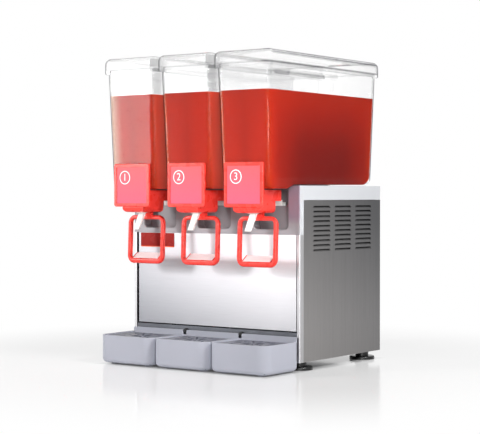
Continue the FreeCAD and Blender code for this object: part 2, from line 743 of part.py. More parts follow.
def make_impeller():
    z0 = PLATE_TOP + IMPELLER_LIFT
    base = rod(0, PLATE_CENTRE, z0, IMPELLER_BASE_DIAMETER / 2, IMPELLER_BASE)
    hub = rod(0, PLATE_CENTRE, z0, IMPELLER_HUB_DIAMETER / 2, IMPELLER_HEIGHT)
    blades = []
    for k in range(IMPELLER_BLADES):
        blade = box(0, IMPELLER_RADIUS, -IMPELLER_BLADE / 2, IMPELLER_BLADE / 2, z0 + IMPELLER_BLADE_FOOT,
                    z0 + IMPELLER_HEIGHT - IMPELLER_BLADE_HEAD)
        blade.rotate(vec(0, 0, 0), vec(0, 0, 1), 360.0 * k / IMPELLER_BLADES + IMPELLER_START_ANGLE)
        blade.translate(vec(0, PLATE_CENTRE, 0))
        blades.append(blade)
    bore = rod(0, PLATE_CENTRE, z0 - LAP, PLATE_PIN_DIAMETER / 2 + RUNNING_CLEARANCE,
               IMPELLER_HEIGHT + 2 * LAP)
    return without(join([base, hub] + blades), [bore])


def rotor_bottom():
    return DECK_TOP + ROTOR_GAP


def make_rotor():
    """Ring magnet on the motor shaft, which drags the stirrer round through the plate."""
    z0 = rotor_bottom()
    disc = rod(0, PLATE_CENTRE, z0, ROTOR_DIAMETER / 2, ROTOR_THICK)
    shaft = rod(0, PLATE_CENTRE, z0 - MOTOR_SHAFT_LENGTH, MOTOR_SHAFT_DIAMETER / 2, MOTOR_SHAFT_LENGTH + LAP)
    boss = rod(0, PLATE_CENTRE, z0 - ROTOR_BOSS, MOTOR_SHAFT_DIAMETER, ROTOR_BOSS + LAP)
    return join([disc, boss, shaft])


def make_stirrer_motor():
    top = DECK_TOP - DECK_WALL
    flange = rod(0, PLATE_CENTRE, top - MOTOR_FLANGE, MOTOR_FLANGE_DIAMETER / 2, MOTOR_FLANGE)
    can = rod(0, PLATE_CENTRE, top - MOTOR_HEIGHT, MOTOR_DIAMETER / 2, MOTOR_HEIGHT)
    low = [e for e in can.Edges if all(near(v.Point.z, top - MOTOR_HEIGHT) for v in e.Vertexes)]
    can = can.makeFillet(MOTOR_EDGE, low)
    bore_bottom = rotor_bottom() - MOTOR_SHAFT_LENGTH - SHAFT_END_GAP
    bore = rod(0, PLATE_CENTRE, bore_bottom, MOTOR_SHAFT_DIAMETER / 2 + RUNNING_CLEARANCE, MOTOR_HEIGHT)
    return without(join([flange, can]), [bore])


# Cabinet
def recess_form(spread):
    """Space of one front recess, open above, grown by spread on its walls and floor."""
    half = RECESS_WIDTH / 2 + spread
    low = box(-half, half, FRONT - (0 if spread else LAP), FRONT + RECESS_DEPTH + spread,
              RECESS_FLOOR - spread, DECK_TOP)
    bottom = edges_along(low, (0, 1, 0), lambda m: near(m.z, RECESS_FLOOR - spread))
    low = low.makeFillet(RECESS_CORNER + spread, bottom)
    pocket = box(-half, half, FRONT + RECESS_DEPTH - LAP, FRONT + POCKET_DEPTH + spread,
                 RECESS_LEDGE - spread, DECK_TOP)
    return join([low, pocket])


def make_deck():
    w = DECK_WALL
    block = box(-SIDE, SIDE, FRONT, REAR, SKIRT_BOTTOM, DECK_TOP)
    block = block.makeFillet(DECK_CORNER_RADIUS, edges_along(block, (0, 0, 1), lambda m: near(m.y, FRONT)))
    inside = box(-SIDE + w, SIDE - w, FRONT + w, REAR - w, SKIRT_BOTTOM - LAP, DECK_TOP - w)
    behind = box(-SIDE - LAP, SIDE + LAP, FRONT + DECK_CORNER_STRIP, REAR + LAP,
                 SKIRT_BOTTOM - LAP, BAND_BOTTOM)
    shell = without(block, [inside, behind])
    troughs = []
    spaces = []
    for index in range(len(BAYS)):
        for spread, group in ((w, troughs), (0, spaces)):
            form = recess_form(spread)
            form.translate(vec(bay_x(index), 0, 0))
            group.append(form)
    holes = [rod(bay_x(i), PLATE_CENTRE, DECK_TOP - 2 * w, DECK_HOLE_DIAMETER / 2, 3 * w)
             for i in range(len(BAYS))]
    return without(join([shell] + troughs), spaces + holes)


def make_posts():
    posts = []
    for sign in (-1, 1):
        outer = sign * SIDE
        face = box(min(outer, outer - sign * POST_FACE), max(outer, outer - sign * POST_FACE),
                   FRONT, FRONT + DECK_CORNER_STRIP, BASE, SKIRT_BOTTOM)
        corner = edges_along(face, (0, 0, 1), lambda m: near(m.y, FRONT) and near(m.x, outer))
        face = face.makeFillet(DECK_CORNER_RADIUS, corner)
        inner = outer - sign * POST_WALL
        far = outer - sign * (POST_FACE + LAP)
        hollow = box(min(inner, far), max(inner, far), FRONT + POST_WALL, FRONT + DECK_CORNER_STRIP + LAP,
                     BASE - LAP, SKIRT_BOTTOM + LAP)
        posts.append(without(face, [hollow]))
    return Part.makeCompound(posts)


def panel_half():
    return SIDE - POST_FACE - FRONT_PANEL_SIDE_GAP


def make_front_panel():
    half = panel_half()
    y0 = FRONT + FRONT_PANEL_SETBACK
    z0 = BASE + FRONT_PANEL_BOTTOM
    z1 = SKIRT_BOTTOM
    t = PANEL_SHEET
    block = box(-half, half, y0, y0 + FRONT_PANEL_RETURN, z0, z1)
    hollow = box(-half + t, half - t, y0 + t, y0 + FRONT_PANEL_RETURN + LAP, z0 + t, z1 - t)
    return without(block, [hollow])


def make_name_plate():
    x0 = -panel_half() + NAME_PLATE_INSET
    y1 = FRONT + FRONT_PANEL_SETBACK
    z1 = SKIRT_BOTTOM - NAME_PLATE_TOP_GAP
    plate = box(x0, x0 + NAME_PLATE_WIDTH, y1 - NAME_PLATE_THICK, y1, z1 - NAME_PLATE_HEIGHT, z1)
    return plate.makeFillet(NAME_PLATE_CORNER, edges_along(plate, (0, 1, 0), lambda m: True))


def louvre_places():
    places = []
    for column in range(LOUVRE_COLUMNS):
        for row in range(LOUVRE_ROWS):
            y = FRONT + LOUVRE_START + column * LOUVRE_COLUMN_PITCH
            z = DECK_TOP - LOUVRE_TOP - row * LOUVRE_ROW_PITCH
            places.append((y, z))
    return places


def make_side_panel(sign):
    """Flat sheet with rows of louvres pressed inwards, each open along its top."""
    t = PANEL_SHEET
    outer = SIDE
    sheet = box(outer - t, outer, FRONT + DECK_CORNER_STRIP + PANEL_GAP, REAR, BASE, BAND_BOTTOM - PANEL_GAP)
    windows = []
    tongues = []
    for y, z in louvre_places():
        s = LOUVRE_END_SLANT
        length = LOUVRE_LENGTH
        corners = [(y, z - LOUVRE_OPENING), (y + length, z - LOUVRE_OPENING), (y + length - s, z), (y + s, z)]
        windows.append(side_prism(corners, outer - 2 * t, outer + t))
        low = z - LOUVRE_OPENING
        flap = [
            vec(outer, y, low), vec(outer - t, y, low),
            vec(outer - t - LOUVRE_DEPTH, y, z), vec(outer - LOUVRE_DEPTH, y, z), vec(outer, y, low),
        ]
        tongues.append(Part.Face(Part.makePolygon(flap)).extrude(vec(0, length, 0)))
    back_flange = box(outer - FLANGE_WIDTH, outer, REAR_PANEL_FACE - 2 * t, REAR_PANEL_FACE - t,
                      BASE, BAND_BOTTOM - PANEL_GAP)
    panel = join([without(sheet, windows)] + tongues + [back_flange])
    if sign < 0:
        panel = panel.mirror(vec(0, 0, 0), vec(1, 0, 0))
    return panel


def make_base_pan():
    t = PAN_SHEET
    half = SIDE - PANEL_SHEET - PANEL_GAP
    front_half = SIDE - POST_FACE - PANEL_GAP
    rear = REAR_PANEL_FACE - 2 * PANEL_SHEET
    behind_posts = FRONT + DECK_CORNER_STRIP + PANEL_GAP
    floor = box(-half, half, behind_posts, rear, BASE, BASE + t)
    tongue = box(-front_half, front_half, PAN_FRONT, behind_posts + LAP, BASE, BASE + t)
    flange_top = BASE + PAN_FLANGE
    sides = [box(-half, -half + t, behind_posts, rear, BASE, flange_top),
             box(half - t, half, behind_posts, rear, BASE, flange_top)]
    back = box(-half, half, rear - t, rear, BASE, flange_top)
    front = box(-front_half, front_half, PAN_FRONT, PAN_FRONT + t, BASE, BASE + PEG_RISE + PEG_DIAMETER)
    pan = join([floor, tongue, back, front] + sides)
    holes = [rod(x, y, BASE - LAP, FOOT_STUD_DIAMETER / 2 + FOOT_STUD_CLEARANCE, t + 2 * LAP)
             for x, y in foot_places()]
    return without(pan, holes)


def foot_places():
    x = SIDE - FOOT_SIDE_INSET
    return [(sx * x, y) for sx in (-1, 1) for y in (FRONT + FOOT_FRONT_INSET, REAR - FOOT_REAR_INSET)]


def make_feet():
    feet = []
    for x, y in foot_places():
        disc = rod(x, y, 0, FOOT_DIAMETER / 2, FOOT_DISC)
        upper = [e for e in disc.Edges if all(near(v.Point.z, FOOT_DISC) for v in e.Vertexes)]
        disc = disc.makeFillet(FOOT_EDGE, upper)
        stem = rod(x, y, FOOT_DISC - LAP, FOOT_STEM_DIAMETER / 2, FOOT_HEIGHT - FOOT_DISC + LAP)
        stud = rod(x, y, FOOT_HEIGHT - LAP, FOOT_STUD_DIAMETER / 2, PAN_SHEET + FOOT_HEAD)
        head = rod(x, y, BASE + PAN_SHEET, FOOT_STUD_DIAMETER, FOOT_HEAD)
        feet.append(join([disc, stem, stud, head]))
    return Part.makeCompound(feet)


def make_pegs():
    pegs = []
    for index in range(len(BAYS) - 1):
        x = (bay_x(index) + bay_x(index + 1)) / 2
        peg = rod(x, PAN_FRONT - PEG_LENGTH, BASE + PEG_RISE, PEG_DIAMETER / 2, PEG_LENGTH, (0, 1, 0))
        tip = [e for e in peg.Edges if all(near(v.Point.y, PAN_FRONT - PEG_LENGTH) for v in e.Vertexes)]
        pegs.append(peg.makeFillet(PEG_EDGE, tip))
    return Part.makeCompound(pegs)


def switch_place():
    return CONTROL_X - CONTROL_PITCH / 2, BASE + CONTROL_Z


def knob_place():
    return CONTROL_X + CONTROL_PITCH / 2, BASE + CONTROL_Z


def inlet_place():
    return CONTROL_X, BASE + CONTROL_Z - INLET_DROP


def vent_places():
    places = []
    first = CONDENSER_X - (REAR_VENT_COLUMNS - 1) * REAR_VENT_COLUMN_PITCH / 2 - REAR_VENT_LENGTH / 2
    for column in range(REAR_VENT_COLUMNS):
        for row in range(REAR_VENT_ROWS):
            places.append((first + column * REAR_VENT_COLUMN_PITCH,
                           BASE + REAR_VENT_BOTTOM + row * REAR_VENT_ROW_PITCH))
    return places


def make_rear_panel():
    t = PANEL_SHEET
    half = SIDE - DECK_WALL - PANEL_GAP
    y0 = REAR_PANEL_FACE - t
    sheet = box(-half, half, y0, REAR_PANEL_FACE, BASE, BAND_BOTTOM + REAR_PANEL_LAP)
    cuts = []
    for x, z in vent_places():
        slot = box(x, x + REAR_VENT_LENGTH, y0 - LAP, REAR_PANEL_FACE + LAP, z, z + REAR_VENT_HEIGHT)
        corners = edges_along(slot, (0, 1, 0), lambda m: True)
        cuts.append(slot.makeFillet(REAR_VENT_HEIGHT / 2 - ROUND_MARGIN, corners))
    x, z = switch_place()
    cuts.append(box(x - SWITCH_WIDTH / 2, x + SWITCH_WIDTH / 2, y0 - LAP, REAR_PANEL_FACE + LAP,
                    z - SWITCH_HEIGHT / 2, z + SWITCH_HEIGHT / 2))
    knob_x, knob_z = knob_place()
    cuts.append(rod(knob_x, y0 - LAP, knob_z, KNOB_SHAFT / 2 + PANEL_GAP, t + 2 * LAP, (0, 1, 0)))
    ix, iz = inlet_place()
    cuts.append(box(ix - INLET_WIDTH / 2, ix + INLET_WIDTH / 2, y0 - LAP, REAR_PANEL_FACE + LAP,
                    iz - INLET_HEIGHT / 2, iz + INLET_HEIGHT / 2))
    return without(sheet, cuts)


# Controls
def make_switch_housing():
    x, z = switch_place()
    hw = SWITCH_WIDTH / 2
    hh = SWITCH_HEIGHT / 2
    b = SWITCH_BEZEL
    w = SWITCH_WALL
    y = REAR_PANEL_FACE
    bezel = box(x - hw - b, x + hw + b, y, y + SWITCH_BEZEL_THICK, z - hh - b, z + hh + b)
    bezel = bezel.makeFillet(b, edges_along(bezel, (0, 1, 0), lambda m: True))
    fit = CUTOUT_CLEARANCE
    shell = box(x - hw + fit, x + hw - fit, y - SWITCH_BODY_DEPTH, y + LAP, z - hh + fit, z + hh - fit)
    well = box(x - hw + w, x + hw - w, y - SWITCH_BODY_DEPTH + SWITCH_FLOOR, y + SWITCH_BEZEL_THICK + LAP,
               z - hh + w, z + hh - w)
    pin = rod(x - hw + w / 2, y - ROCKER_PROUD, z, ROCKER_PIN / 2, SWITCH_WIDTH - w, (1, 0, 0))
    return join([without(join([bezel, shell]), [well]), pin])


def make_rocker():
    """Rocker cap in its off position, tilted about the pin in its housing."""
    x, z = switch_place()
    hw = SWITCH_WIDTH / 2 - SWITCH_WALL - ROCKER_CLEARANCE
    hh = SWITCH_HEIGHT / 2 - SWITCH_WALL - 2 * ROCKER_CLEARANCE
    y = REAR_PANEL_FACE - ROCKER_PROUD
    rise = hh * math.tan(math.radians(ROCKER_TILT)) / 2
    face = [
        (y - ROCKER_KEEL, z - hh + ROCKER_KEEL_INSET),
        (y + ROCKER_PROUD + rise, z - hh + ROCKER_END_GAP),
        (y + ROCKER_PROUD - ROCKER_DIP, z),
        (y + ROCKER_PROUD + rise, z + hh - ROCKER_END_GAP),
        (y - ROCKER_KEEL, z + hh - ROCKER_KEEL_INSET),
    ]
    cap = side_prism(face, x - hw, x + hw)
    cap = cap.makeFillet(ROCKER_EDGE, edges_along(cap, (1, 0, 0), lambda m: m.y > y))
    bore = rod(x - hw - LAP, y, z, ROCKER_PIN / 2 + RUNNING_CLEARANCE, SWITCH_WIDTH, (1, 0, 0))
    cap = without(cap, [bore])
    cap.rotate(vec(x, y, z), vec(1, 0, 0), ROCKER_TILT)
    return cap


def make_thermostat():
    x, z = knob_place()
    h = THERMOSTAT_SIZE / 2
    y = REAR_PANEL_FACE - PANEL_SHEET
    body = box(x - h, x + h, y - THERMOSTAT_DEPTH, y, z - h, z + h)
    body = body.makeFillet(THERMOSTAT_CORNER, edges_along(body, (0, 1, 0), lambda m: True))
    bore = rod(x, y - KNOB_SHAFT_LENGTH, z, KNOB_SHAFT / 2 + RUNNING_CLEARANCE, 2 * KNOB_SHAFT_LENGTH,
               (0, 1, 0))
    return without(body, [bore])


def make_knob():
    x, z = knob_place()
    y = REAR_PANEL_FACE + KNOB_GAP
    knob = rod(x, y, z, KNOB_DIAMETER / 2, KNOB_DEPTH, (0, 1, 0))
    rim = [e for e in knob.Edges if all(near(v.Point.y, y + KNOB_DEPTH) for v in e.Vertexes)]
    knob = knob.makeFillet(KNOB_EDGE, rim)
    cuts = []
    for k in range(KNOB_GROOVES):
        angle = 2 * math.pi * k / KNOB_GROOVES
        r = KNOB_DIAMETER / 2 + KNOB_GROOVE / 2
        cuts.append(rod(x + r * math.sin(angle), y + KNOB_SKIRT, z + r * math.cos(angle), KNOB_GROOVE,
                        KNOB_DEPTH, (0, 1, 0)))
    knob = without(knob, cuts)
    pointer = box(x - KNOB_POINTER / 2, x + KNOB_POINTER / 2, y + KNOB_DEPTH - LAP,
                  y + KNOB_DEPTH + KNOB_POINTER_PROUD, z + KNOB_POINTER_START,
                  z + KNOB_DIAMETER / 2 - KNOB_POINTER_INSET)
    shaft = rod(x, y - KNOB_SHAFT_LENGTH, z, KNOB_SHAFT / 2, KNOB_SHAFT_LENGTH + LAP, (0, 1, 0))
    return join([knob, pointer, shaft])


def make_inlet():
    x, z = inlet_place()
    y = REAR_PANEL_FACE
    hw = INLET_WIDTH / 2
    hh = INLET_HEIGHT / 2
    fit = CUTOUT_CLEARANCE
    w = INLET_WALL
    flange = box(x - INLET_FLANGE / 2, x + INLET_FLANGE / 2, y, y + w, z - hh - w, z + hh + w)
    flange = flange.makeFillet(INLET_CORNER, edges_along(flange, (0, 1, 0), lambda m: True))
    body = box(x - hw + fit, x + hw - fit, y - INLET_DEPTH, y + LAP, z - hh + fit, z + hh - fit)
    socket = box(x - hw + w, x + hw - w, y - INLET_DEPTH + 2 * w, y + w + LAP, z - hh + w, z + hh - w)
    socket = socket.makeChamfer(INLET_KEYING, edges_along(socket, (0, 1, 0), lambda m: m.z > z))
    pins = []
    half_thick = INLET_PIN_THICK / 2
    half_high = INLET_PIN_HEIGHT / 2
    places = ((-INLET_PIN_PITCH, -INLET_PIN_DROP), (0, INLET_EARTH_RISE), (INLET_PIN_PITCH, -INLET_PIN_DROP))
    for dx, dz in places:
        pins.append(box(x + dx - half_thick, x + dx + half_thick, y - INLET_DEPTH + w, y - INLET_PIN_SETBACK,
                        z + dz - half_high, z + dz + half_high))
    return join([without(join([flange, body]), [socket])] + pins)


# Refrigeration
def compressor_y():
    return FRONT + COMPRESSOR_Y


def make_compressor():
    """Welded can on a foot plate, with its terminal box, stub pipe and rubber feet."""
    x = COMPRESSOR_X
    y = compressor_y()
    half_x = COMPRESSOR_BASE / 2
    half_y = COMPRESSOR_BASE_WIDTH / 2
    z = PAN_TOP + COMPRESSOR_FOOT_HEIGHT
    plate = box(x - half_x, x + half_x, y - half_y, y + half_y, z, z + COMPRESSOR_BASE_THICK)
    plate = plate.makeFillet(COMPRESSOR_BASE_CORNER, edges_along(plate, (0, 0, 1), lambda m: True))
    radius = COMPRESSOR_DIAMETER / 2
    can = rod(x, y, z, radius, COMPRESSOR_HEIGHT)
    upper = [e for e in can.Edges if all(near(v.Point.z, z + COMPRESSOR_HEIGHT) for v in e.Vertexes)]
    can = can.makeFillet(COMPRESSOR_DOME, upper)
    seam = rod(x, y, z + COMPRESSOR_HEIGHT / 2 - COMPRESSOR_SEAM, radius + COMPRESSOR_SEAM,
               2 * COMPRESSOR_SEAM)
    stub = rod(x + radius - CAN_LAP, y, z + TERMINAL_RISE, DISCHARGE_PIPE / 2, DISCHARGE_STUB, (1, 0, 0))
    terminal = box(x - radius - TERMINAL_PROUD, x - radius + CAN_LAP, y - TERMINAL_WIDTH / 2,
                   y + TERMINAL_WIDTH / 2, z + TERMINAL_RISE, z + TERMINAL_RISE + TERMINAL_HEIGHT)
    feet = []
    foot_x = half_x - COMPRESSOR_FOOT_INSET
    foot_y = half_y - COMPRESSOR_FOOT_INSET
    for sx in (-1, 1):
        for sy in (-1, 1):
            feet.append(rod(x + sx * foot_x, y + sy * foot_y, PAN_TOP, COMPRESSOR_FOOT / 2,
                            COMPRESSOR_FOOT_HEIGHT + LAP))
    return join([plate, can, seam, stub, terminal] + feet)


def condenser_front():
    return REAR_PANEL_FACE - PANEL_SHEET - CONDENSER_GAP - CONDENSER_DEPTH


def make_condenser():
    x0 = CONDENSER_X - CONDENSER_WIDTH / 2
    x1 = CONDENSER_X + CONDENSER_WIDTH / 2
    y0 = condenser_front()
    y1 = y0 + CONDENSER_DEPTH
    z0 = PAN_TOP
    z1 = z0 + CONDENSER_HEIGHT
    plates = [box(x0, x0 + CONDENSER_END_PLATE, y0, y1, z0, z1),
              box(x1 - CONDENSER_END_PLATE, x1, y0, y1, z0, z1)]
    pitch = CONDENSER_WIDTH / (CONDENSER_FINS + 1)
    for k in range(CONDENSER_FINS):
        x = x0 + (k + 1) * pitch
        plates.append(box(x - CONDENSER_FIN / 2, x + CONDENSER_FIN / 2, y0 + CONDENSER_FIN_SETBACK,
                          y1 - CONDENSER_FIN_SETBACK, z0 + CONDENSER_FIN_CLEAR, z1 - CONDENSER_FIN_CLEAR))
    tubes = []
    for row in range(CONDENSER_TUBE_ROWS):
        z = z0 + CONDENSER_HEIGHT * (row + 0.5) / CONDENSER_TUBE_ROWS
        tubes.append(rod(x0 - CONDENSER_TUBE_PROUD, (y0 + y1) / 2, z, CONDENSER_TUBE / 2,
                         CONDENSER_WIDTH + 2 * CONDENSER_TUBE_PROUD, (1, 0, 0)))
    return join(plates + tubes)


def fan_centre():
    return CONDENSER_X, condenser_front() - SHROUD_DEPTH, PAN_TOP + CONDENSER_HEIGHT / 2


def make_shroud():
    """Sheet box between the condenser and the fan, with a round throat."""
    t = SHROUD_SHEET
    x0 = CONDENSER_X - CONDENSER_WIDTH / 2
    x1 = CONDENSER_X + CONDENSER_WIDTH / 2
    y1 = condenser_front()
    y0 = y1 - SHROUD_DEPTH
    z0 = PAN_TOP
    z1 = z0 + CONDENSER_HEIGHT
    block = box(x0, x1, y0, y1, z0, z1)
    hollow = box(x0 + t, x1 - t, y0 + t, y1 + LAP, z0 + t, z1 - t)
    cx, cy, cz = fan_centre()
    throat = rod(cx, y0 - LAP, cz, FAN_DIAMETER / 2 + FAN_TIP_GAP, 3 * t, (0, 1, 0))
    return without(block, [hollow, throat])


def fan_motor_front():
    return fan_centre()[1] - FAN_BLADE_CHORD / 2 - FAN_MOTOR_GAP - FAN_MOTOR_LENGTH


def make_fan_motor():
    cx, cy, cz = fan_centre()
    y0 = fan_motor_front()
    can = rod(cx, y0, cz, FAN_MOTOR_DIAMETER / 2, FAN_MOTOR_LENGTH, (0, 1, 0))
    reach = FAN_DIAMETER / 2 + FAN_TIP_GAP
    arms = []
    for sx in (-1, 1):
        arm = sorted((sx * (FAN_MOTOR_DIAMETER / 2 - FAN_ARM_ROOT), sx * (reach + FAN_ARM)))
        arms.append(box(cx + arm[0], cx + arm[1], y0 + FAN_ARM_PLACE, y0 + FAN_ARM_PLACE + FAN_ARM_THICK,
                        cz - FAN_ARM / 2, cz + FAN_ARM / 2))
        leg = sorted((sx * (reach + FAN_ARM - FAN_ARM_THICK), sx * (reach + FAN_ARM)))
        arms.append(box(cx + leg[0], cx + leg[1], y0 + FAN_ARM_PLACE, cy, cz - FAN_ARM / 2, cz + FAN_ARM / 2))
    end_y = y0 + FAN_MOTOR_LENGTH
    bore = rod(cx, end_y - FAN_SHAFT_GRIP - SHAFT_END_GAP, cz, FAN_SHAFT_DIAMETER / 2 + RUNNING_CLEARANCE,
               FAN_SHAFT_GRIP + SHAFT_END_GAP + LAP, (0, 1, 0))
    return without(join([can] + arms), [bore])


def make_fan():
    cx, cy, cz = fan_centre()
    motor_end = fan_motor_front() + FAN_MOTOR_LENGTH
    y0 = cy - FAN_HUB_LENGTH / 2
    hub = rod(cx, y0, cz, FAN_HUB / 2, FAN_HUB_LENGTH, (0, 1, 0))
    shaft = rod(cx, motor_end - FAN_SHAFT_GRIP, cz, FAN_SHAFT_DIAMETER / 2,
                y0 - motor_end + FAN_SHAFT_GRIP + LAP, (0, 1, 0))
    limit = rod(cx, cy - FAN_BLADE_CHORD, cz, FAN_DIAMETER / 2, 2 * FAN_BLADE_CHORD, (0, 1, 0))
    blades = []
    for k in range(FAN_BLADES):
        blade = box(-FAN_BLADE_CHORD / 2, FAN_BLADE_CHORD / 2, -FAN_BLADE_THICK / 2, FAN_BLADE_THICK / 2,
                    FAN_HUB / 2 - FAN_BLADE_ROOT, FAN_DIAMETER)
        blade.rotate(vec(0, 0, 0), vec(0, 0, 1), FAN_BLADE_PITCH)
        blade.rotate(vec(0, 0, 0), vec(0, 1, 0), 360.0 * k / FAN_BLADES)
        blade.translate(vec(cx, cy, cz))
        blades.append(blade.common(limit))
    return join([hub, shaft] + blades)


# Drip trays
def tray_block(inset, z0, z1):
    """Upright block with the tray's outline drawn in by inset."""
    half = TRAY_HALF - inset
    return rounded_block(-half, half, TRAY_FRONT + inset, TRAY_REAR - inset, z0, z1,
                         TRAY_CORNER - inset, TRAY_REAR_CORNER - inset)


def bend_bottom(block, z0, radius):
    low = [e for e in block.Edges if all(near(v.Point.z, z0) for v in e.Vertexes)]
    return block.makeFillet(radius, low)


def make_tray():
    """Tray with a ledge for its grid, a raised rear edge and four moulded pads."""
    w = TRAY_WALL
    z0 = TRAY_FLOOR_GAP
    block = bend_bottom(tray_block(0.0, z0, TRAY_TOP), z0, TRAY_BEND)
    deep = w + TRAY_LEDGE
    pit = bend_bottom(tray_block(deep, z0 + w, TRAY_TOP + LAP), z0 + w,
                      TRAY_REAR_CORNER - deep - TRAY_PIT_MARGIN)
    seat = tray_block(w, GRID_BOTTOM, TRAY_TOP + LAP)
    half = (BAY_WIDTH - PEG_DIAMETER) / 2 - PEG_CLEARANCE
    upstand = box(-half, half, TRAY_REAR - w, TRAY_REAR, TRAY_TOP - w, TRAY_TOP + TRAY_UPSTAND)
    ends = edges_along(upstand, (0, 1, 0), lambda m: m.z > TRAY_TOP)
    upstand = upstand.makeFillet(TRAY_UPSTAND_CORNER, ends)
    pads = []
    i = TRAY_FOOT_INSET
    for x in (-TRAY_HALF + i, TRAY_HALF - i):
        for y in (TRAY_FRONT + i, TRAY_REAR - i):
            pads.append(rod(x, y, 0, TRAY_FOOT_DIAMETER / 2, z0 + LAP))
    return join([without(block, [pit, seat]), upstand] + pads)


def leaf(inner, outer, width, angle):
    """Upright pointed slot that lies along a radius, placed about the grid's middle."""
    mid = (inner + outer) / 2
    half = width / 2
    one = Part.Arc(vec(inner, 0, 0), vec(mid, half, 0), vec(outer, 0, 0)).toShape()
    two = Part.Arc(vec(outer, 0, 0), vec(mid, -half, 0), vec(inner, 0, 0)).toShape()
    solid = Part.Face(Part.Wire([one, two])).extrude(vec(0, 0, 3 * GRID_THICK))
    solid.rotate(vec(0, 0, 0), vec(0, 0, 1), angle)
    solid.translate(vec(0, (TRAY_FRONT + TRAY_REAR) / 2, GRID_BOTTOM - GRID_THICK))
    return solid


def make_grid():
    plate = tray_block(TRAY_WALL + GRID_CLEARANCE, GRID_BOTTOM, GRID_TOP)
    slots = []
    for k in range(GRID_LEAVES):
        slots.append(leaf(GRID_LEAF_INNER, GRID_LEAF_OUTER, GRID_LEAF_WIDTH, 360.0 * k / GRID_LEAVES))
    for k in range(GRID_OUTER_LEAVES):
        slots.append(leaf(GRID_OUTER_INNER, GRID_OUTER_OUTER, GRID_LEAF_WIDTH,
                          360.0 * (k + 0.5) / GRID_OUTER_LEAVES))
    return without(plate, slots)


# Catches
def make_catch():
    """J-shaped clip on the ledge behind a tap, which keeps the bowl from creeping."""
    half = CATCH_WIDTH / 2
    y0 = FRONT + RECESS_DEPTH + CATCH_SETBACK
    y1 = y0 + CATCH_DEPTH
    z0 = RECESS_LEDGE
    w = CATCH_WALL
    foot = box(-half, half, y0, y1, z0, z0 + w)
    front = box(-half, half, y0, y0 + w, z0, z0 + CATCH_FRONT_LEG)
    rear = box(-half, half, y1 - w, y1, z0, z0 + CATCH_REAR_LEG)
    clip = join([foot, front, rear])
    tops = edges_along(clip, (1, 0, 0), lambda m: near(m.z, z0 + CATCH_FRONT_LEG))
    return clip.makeFillet(w / 2 - ROUND_MARGIN, tops)


def in_bay(shape, index):
    moved = shape.copy()
    moved.translate(vec(bay_x(index), 0, 0))
    return moved


def in_every_bay(shape):
    return Part.makeCompound([in_bay(shape, index) for index in range(len(BAYS))])


os.makedirs("parts", exist_ok=True)

BAY_PIECES = {
    "bowl": make_bowl(),
    "lid": make_lid(),
    "tap_body": make_tap_body(),
    "tap_cover": make_tap_cover(),
    "spout": make_spout(),
    "lever": make_lever(),
    "push_pad": make_push_pad(),
    "valve_piston": make_piston(),
    "impeller": make_impeller(),
    "magnet_rotor": make_rotor(),
    "drip_tray": make_tray(),
    "drip_grid": make_grid(),
}
for piece, solid in BAY_PIECES.items():
    for index, side in enumerate(BAYS):
        in_bay(solid, index).exportStep("parts/" + piece + "_" + side + ".step")

MACHINE_PIECES = {
    "top_deck": make_deck(),
    "front_posts": make_posts(),
    "front_panel": make_front_panel(),
    "name_plate": make_name_plate(),
    "side_panel_left": make_side_panel(-1),
    "side_panel_right": make_side_panel(1),
    "rear_panel": make_rear_panel(),
    "base_pan": make_base_pan(),
    "rubber_feet": make_feet(),
    "tray_pegs": make_pegs(),
    "bowl_catches": in_every_bay(make_catch()),
    "cooling_plates": in_every_bay(make_cooling_plate()),
    "bowl_gaskets": in_every_bay(make_gasket()),
    "stirrer_motors": in_every_bay(make_stirrer_motor()),
    "compressor": make_compressor(),
    "condenser": make_condenser(),
    "fan_shroud": make_shroud(),
    "fan": make_fan(),
    "fan_motor": make_fan_motor(),
    "switch_housing": make_switch_housing(),
    "main_switch": make_rocker(),
    "thermostat_body": make_thermostat(),
    "thermostat_knob": make_knob(),
    "power_inlet": make_inlet(),
}
for piece, solid in MACHINE_PIECES.items():
    solid.exportStep("parts/" + piece + ".step")
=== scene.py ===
"""Cold drink dispenser: finishes, drink, labels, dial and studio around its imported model."""

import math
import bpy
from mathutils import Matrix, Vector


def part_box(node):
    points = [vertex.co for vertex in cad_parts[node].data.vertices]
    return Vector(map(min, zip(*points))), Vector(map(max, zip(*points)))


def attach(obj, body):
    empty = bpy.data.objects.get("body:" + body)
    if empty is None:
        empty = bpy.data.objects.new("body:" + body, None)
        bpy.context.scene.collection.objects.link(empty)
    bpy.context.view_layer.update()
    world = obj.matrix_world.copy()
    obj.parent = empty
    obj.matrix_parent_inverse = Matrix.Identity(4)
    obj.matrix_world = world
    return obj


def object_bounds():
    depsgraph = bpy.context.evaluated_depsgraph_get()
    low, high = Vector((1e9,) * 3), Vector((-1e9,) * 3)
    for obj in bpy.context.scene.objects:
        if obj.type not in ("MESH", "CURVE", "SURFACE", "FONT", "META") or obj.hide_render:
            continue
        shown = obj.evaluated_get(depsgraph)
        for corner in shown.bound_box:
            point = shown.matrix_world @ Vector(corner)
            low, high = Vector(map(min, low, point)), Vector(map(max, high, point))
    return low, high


bl_info = {
    "name": "Cold Drink Dispenser",
    "version": (1, 0, 0),
    "blender": (4, 5, 0),
    "location": "3D View > Sidebar > Dispenser",
    "description": "Dresses a three-bowl cold drink dispenser and sets up its studio",
    "category": "Object",
}

import bmesh
import bpy
from bpy.props import FloatProperty, FloatVectorProperty, IntProperty, PointerProperty
from mathutils import Euler, Matrix, Vector
from mathutils.bvhtree import BVHTree

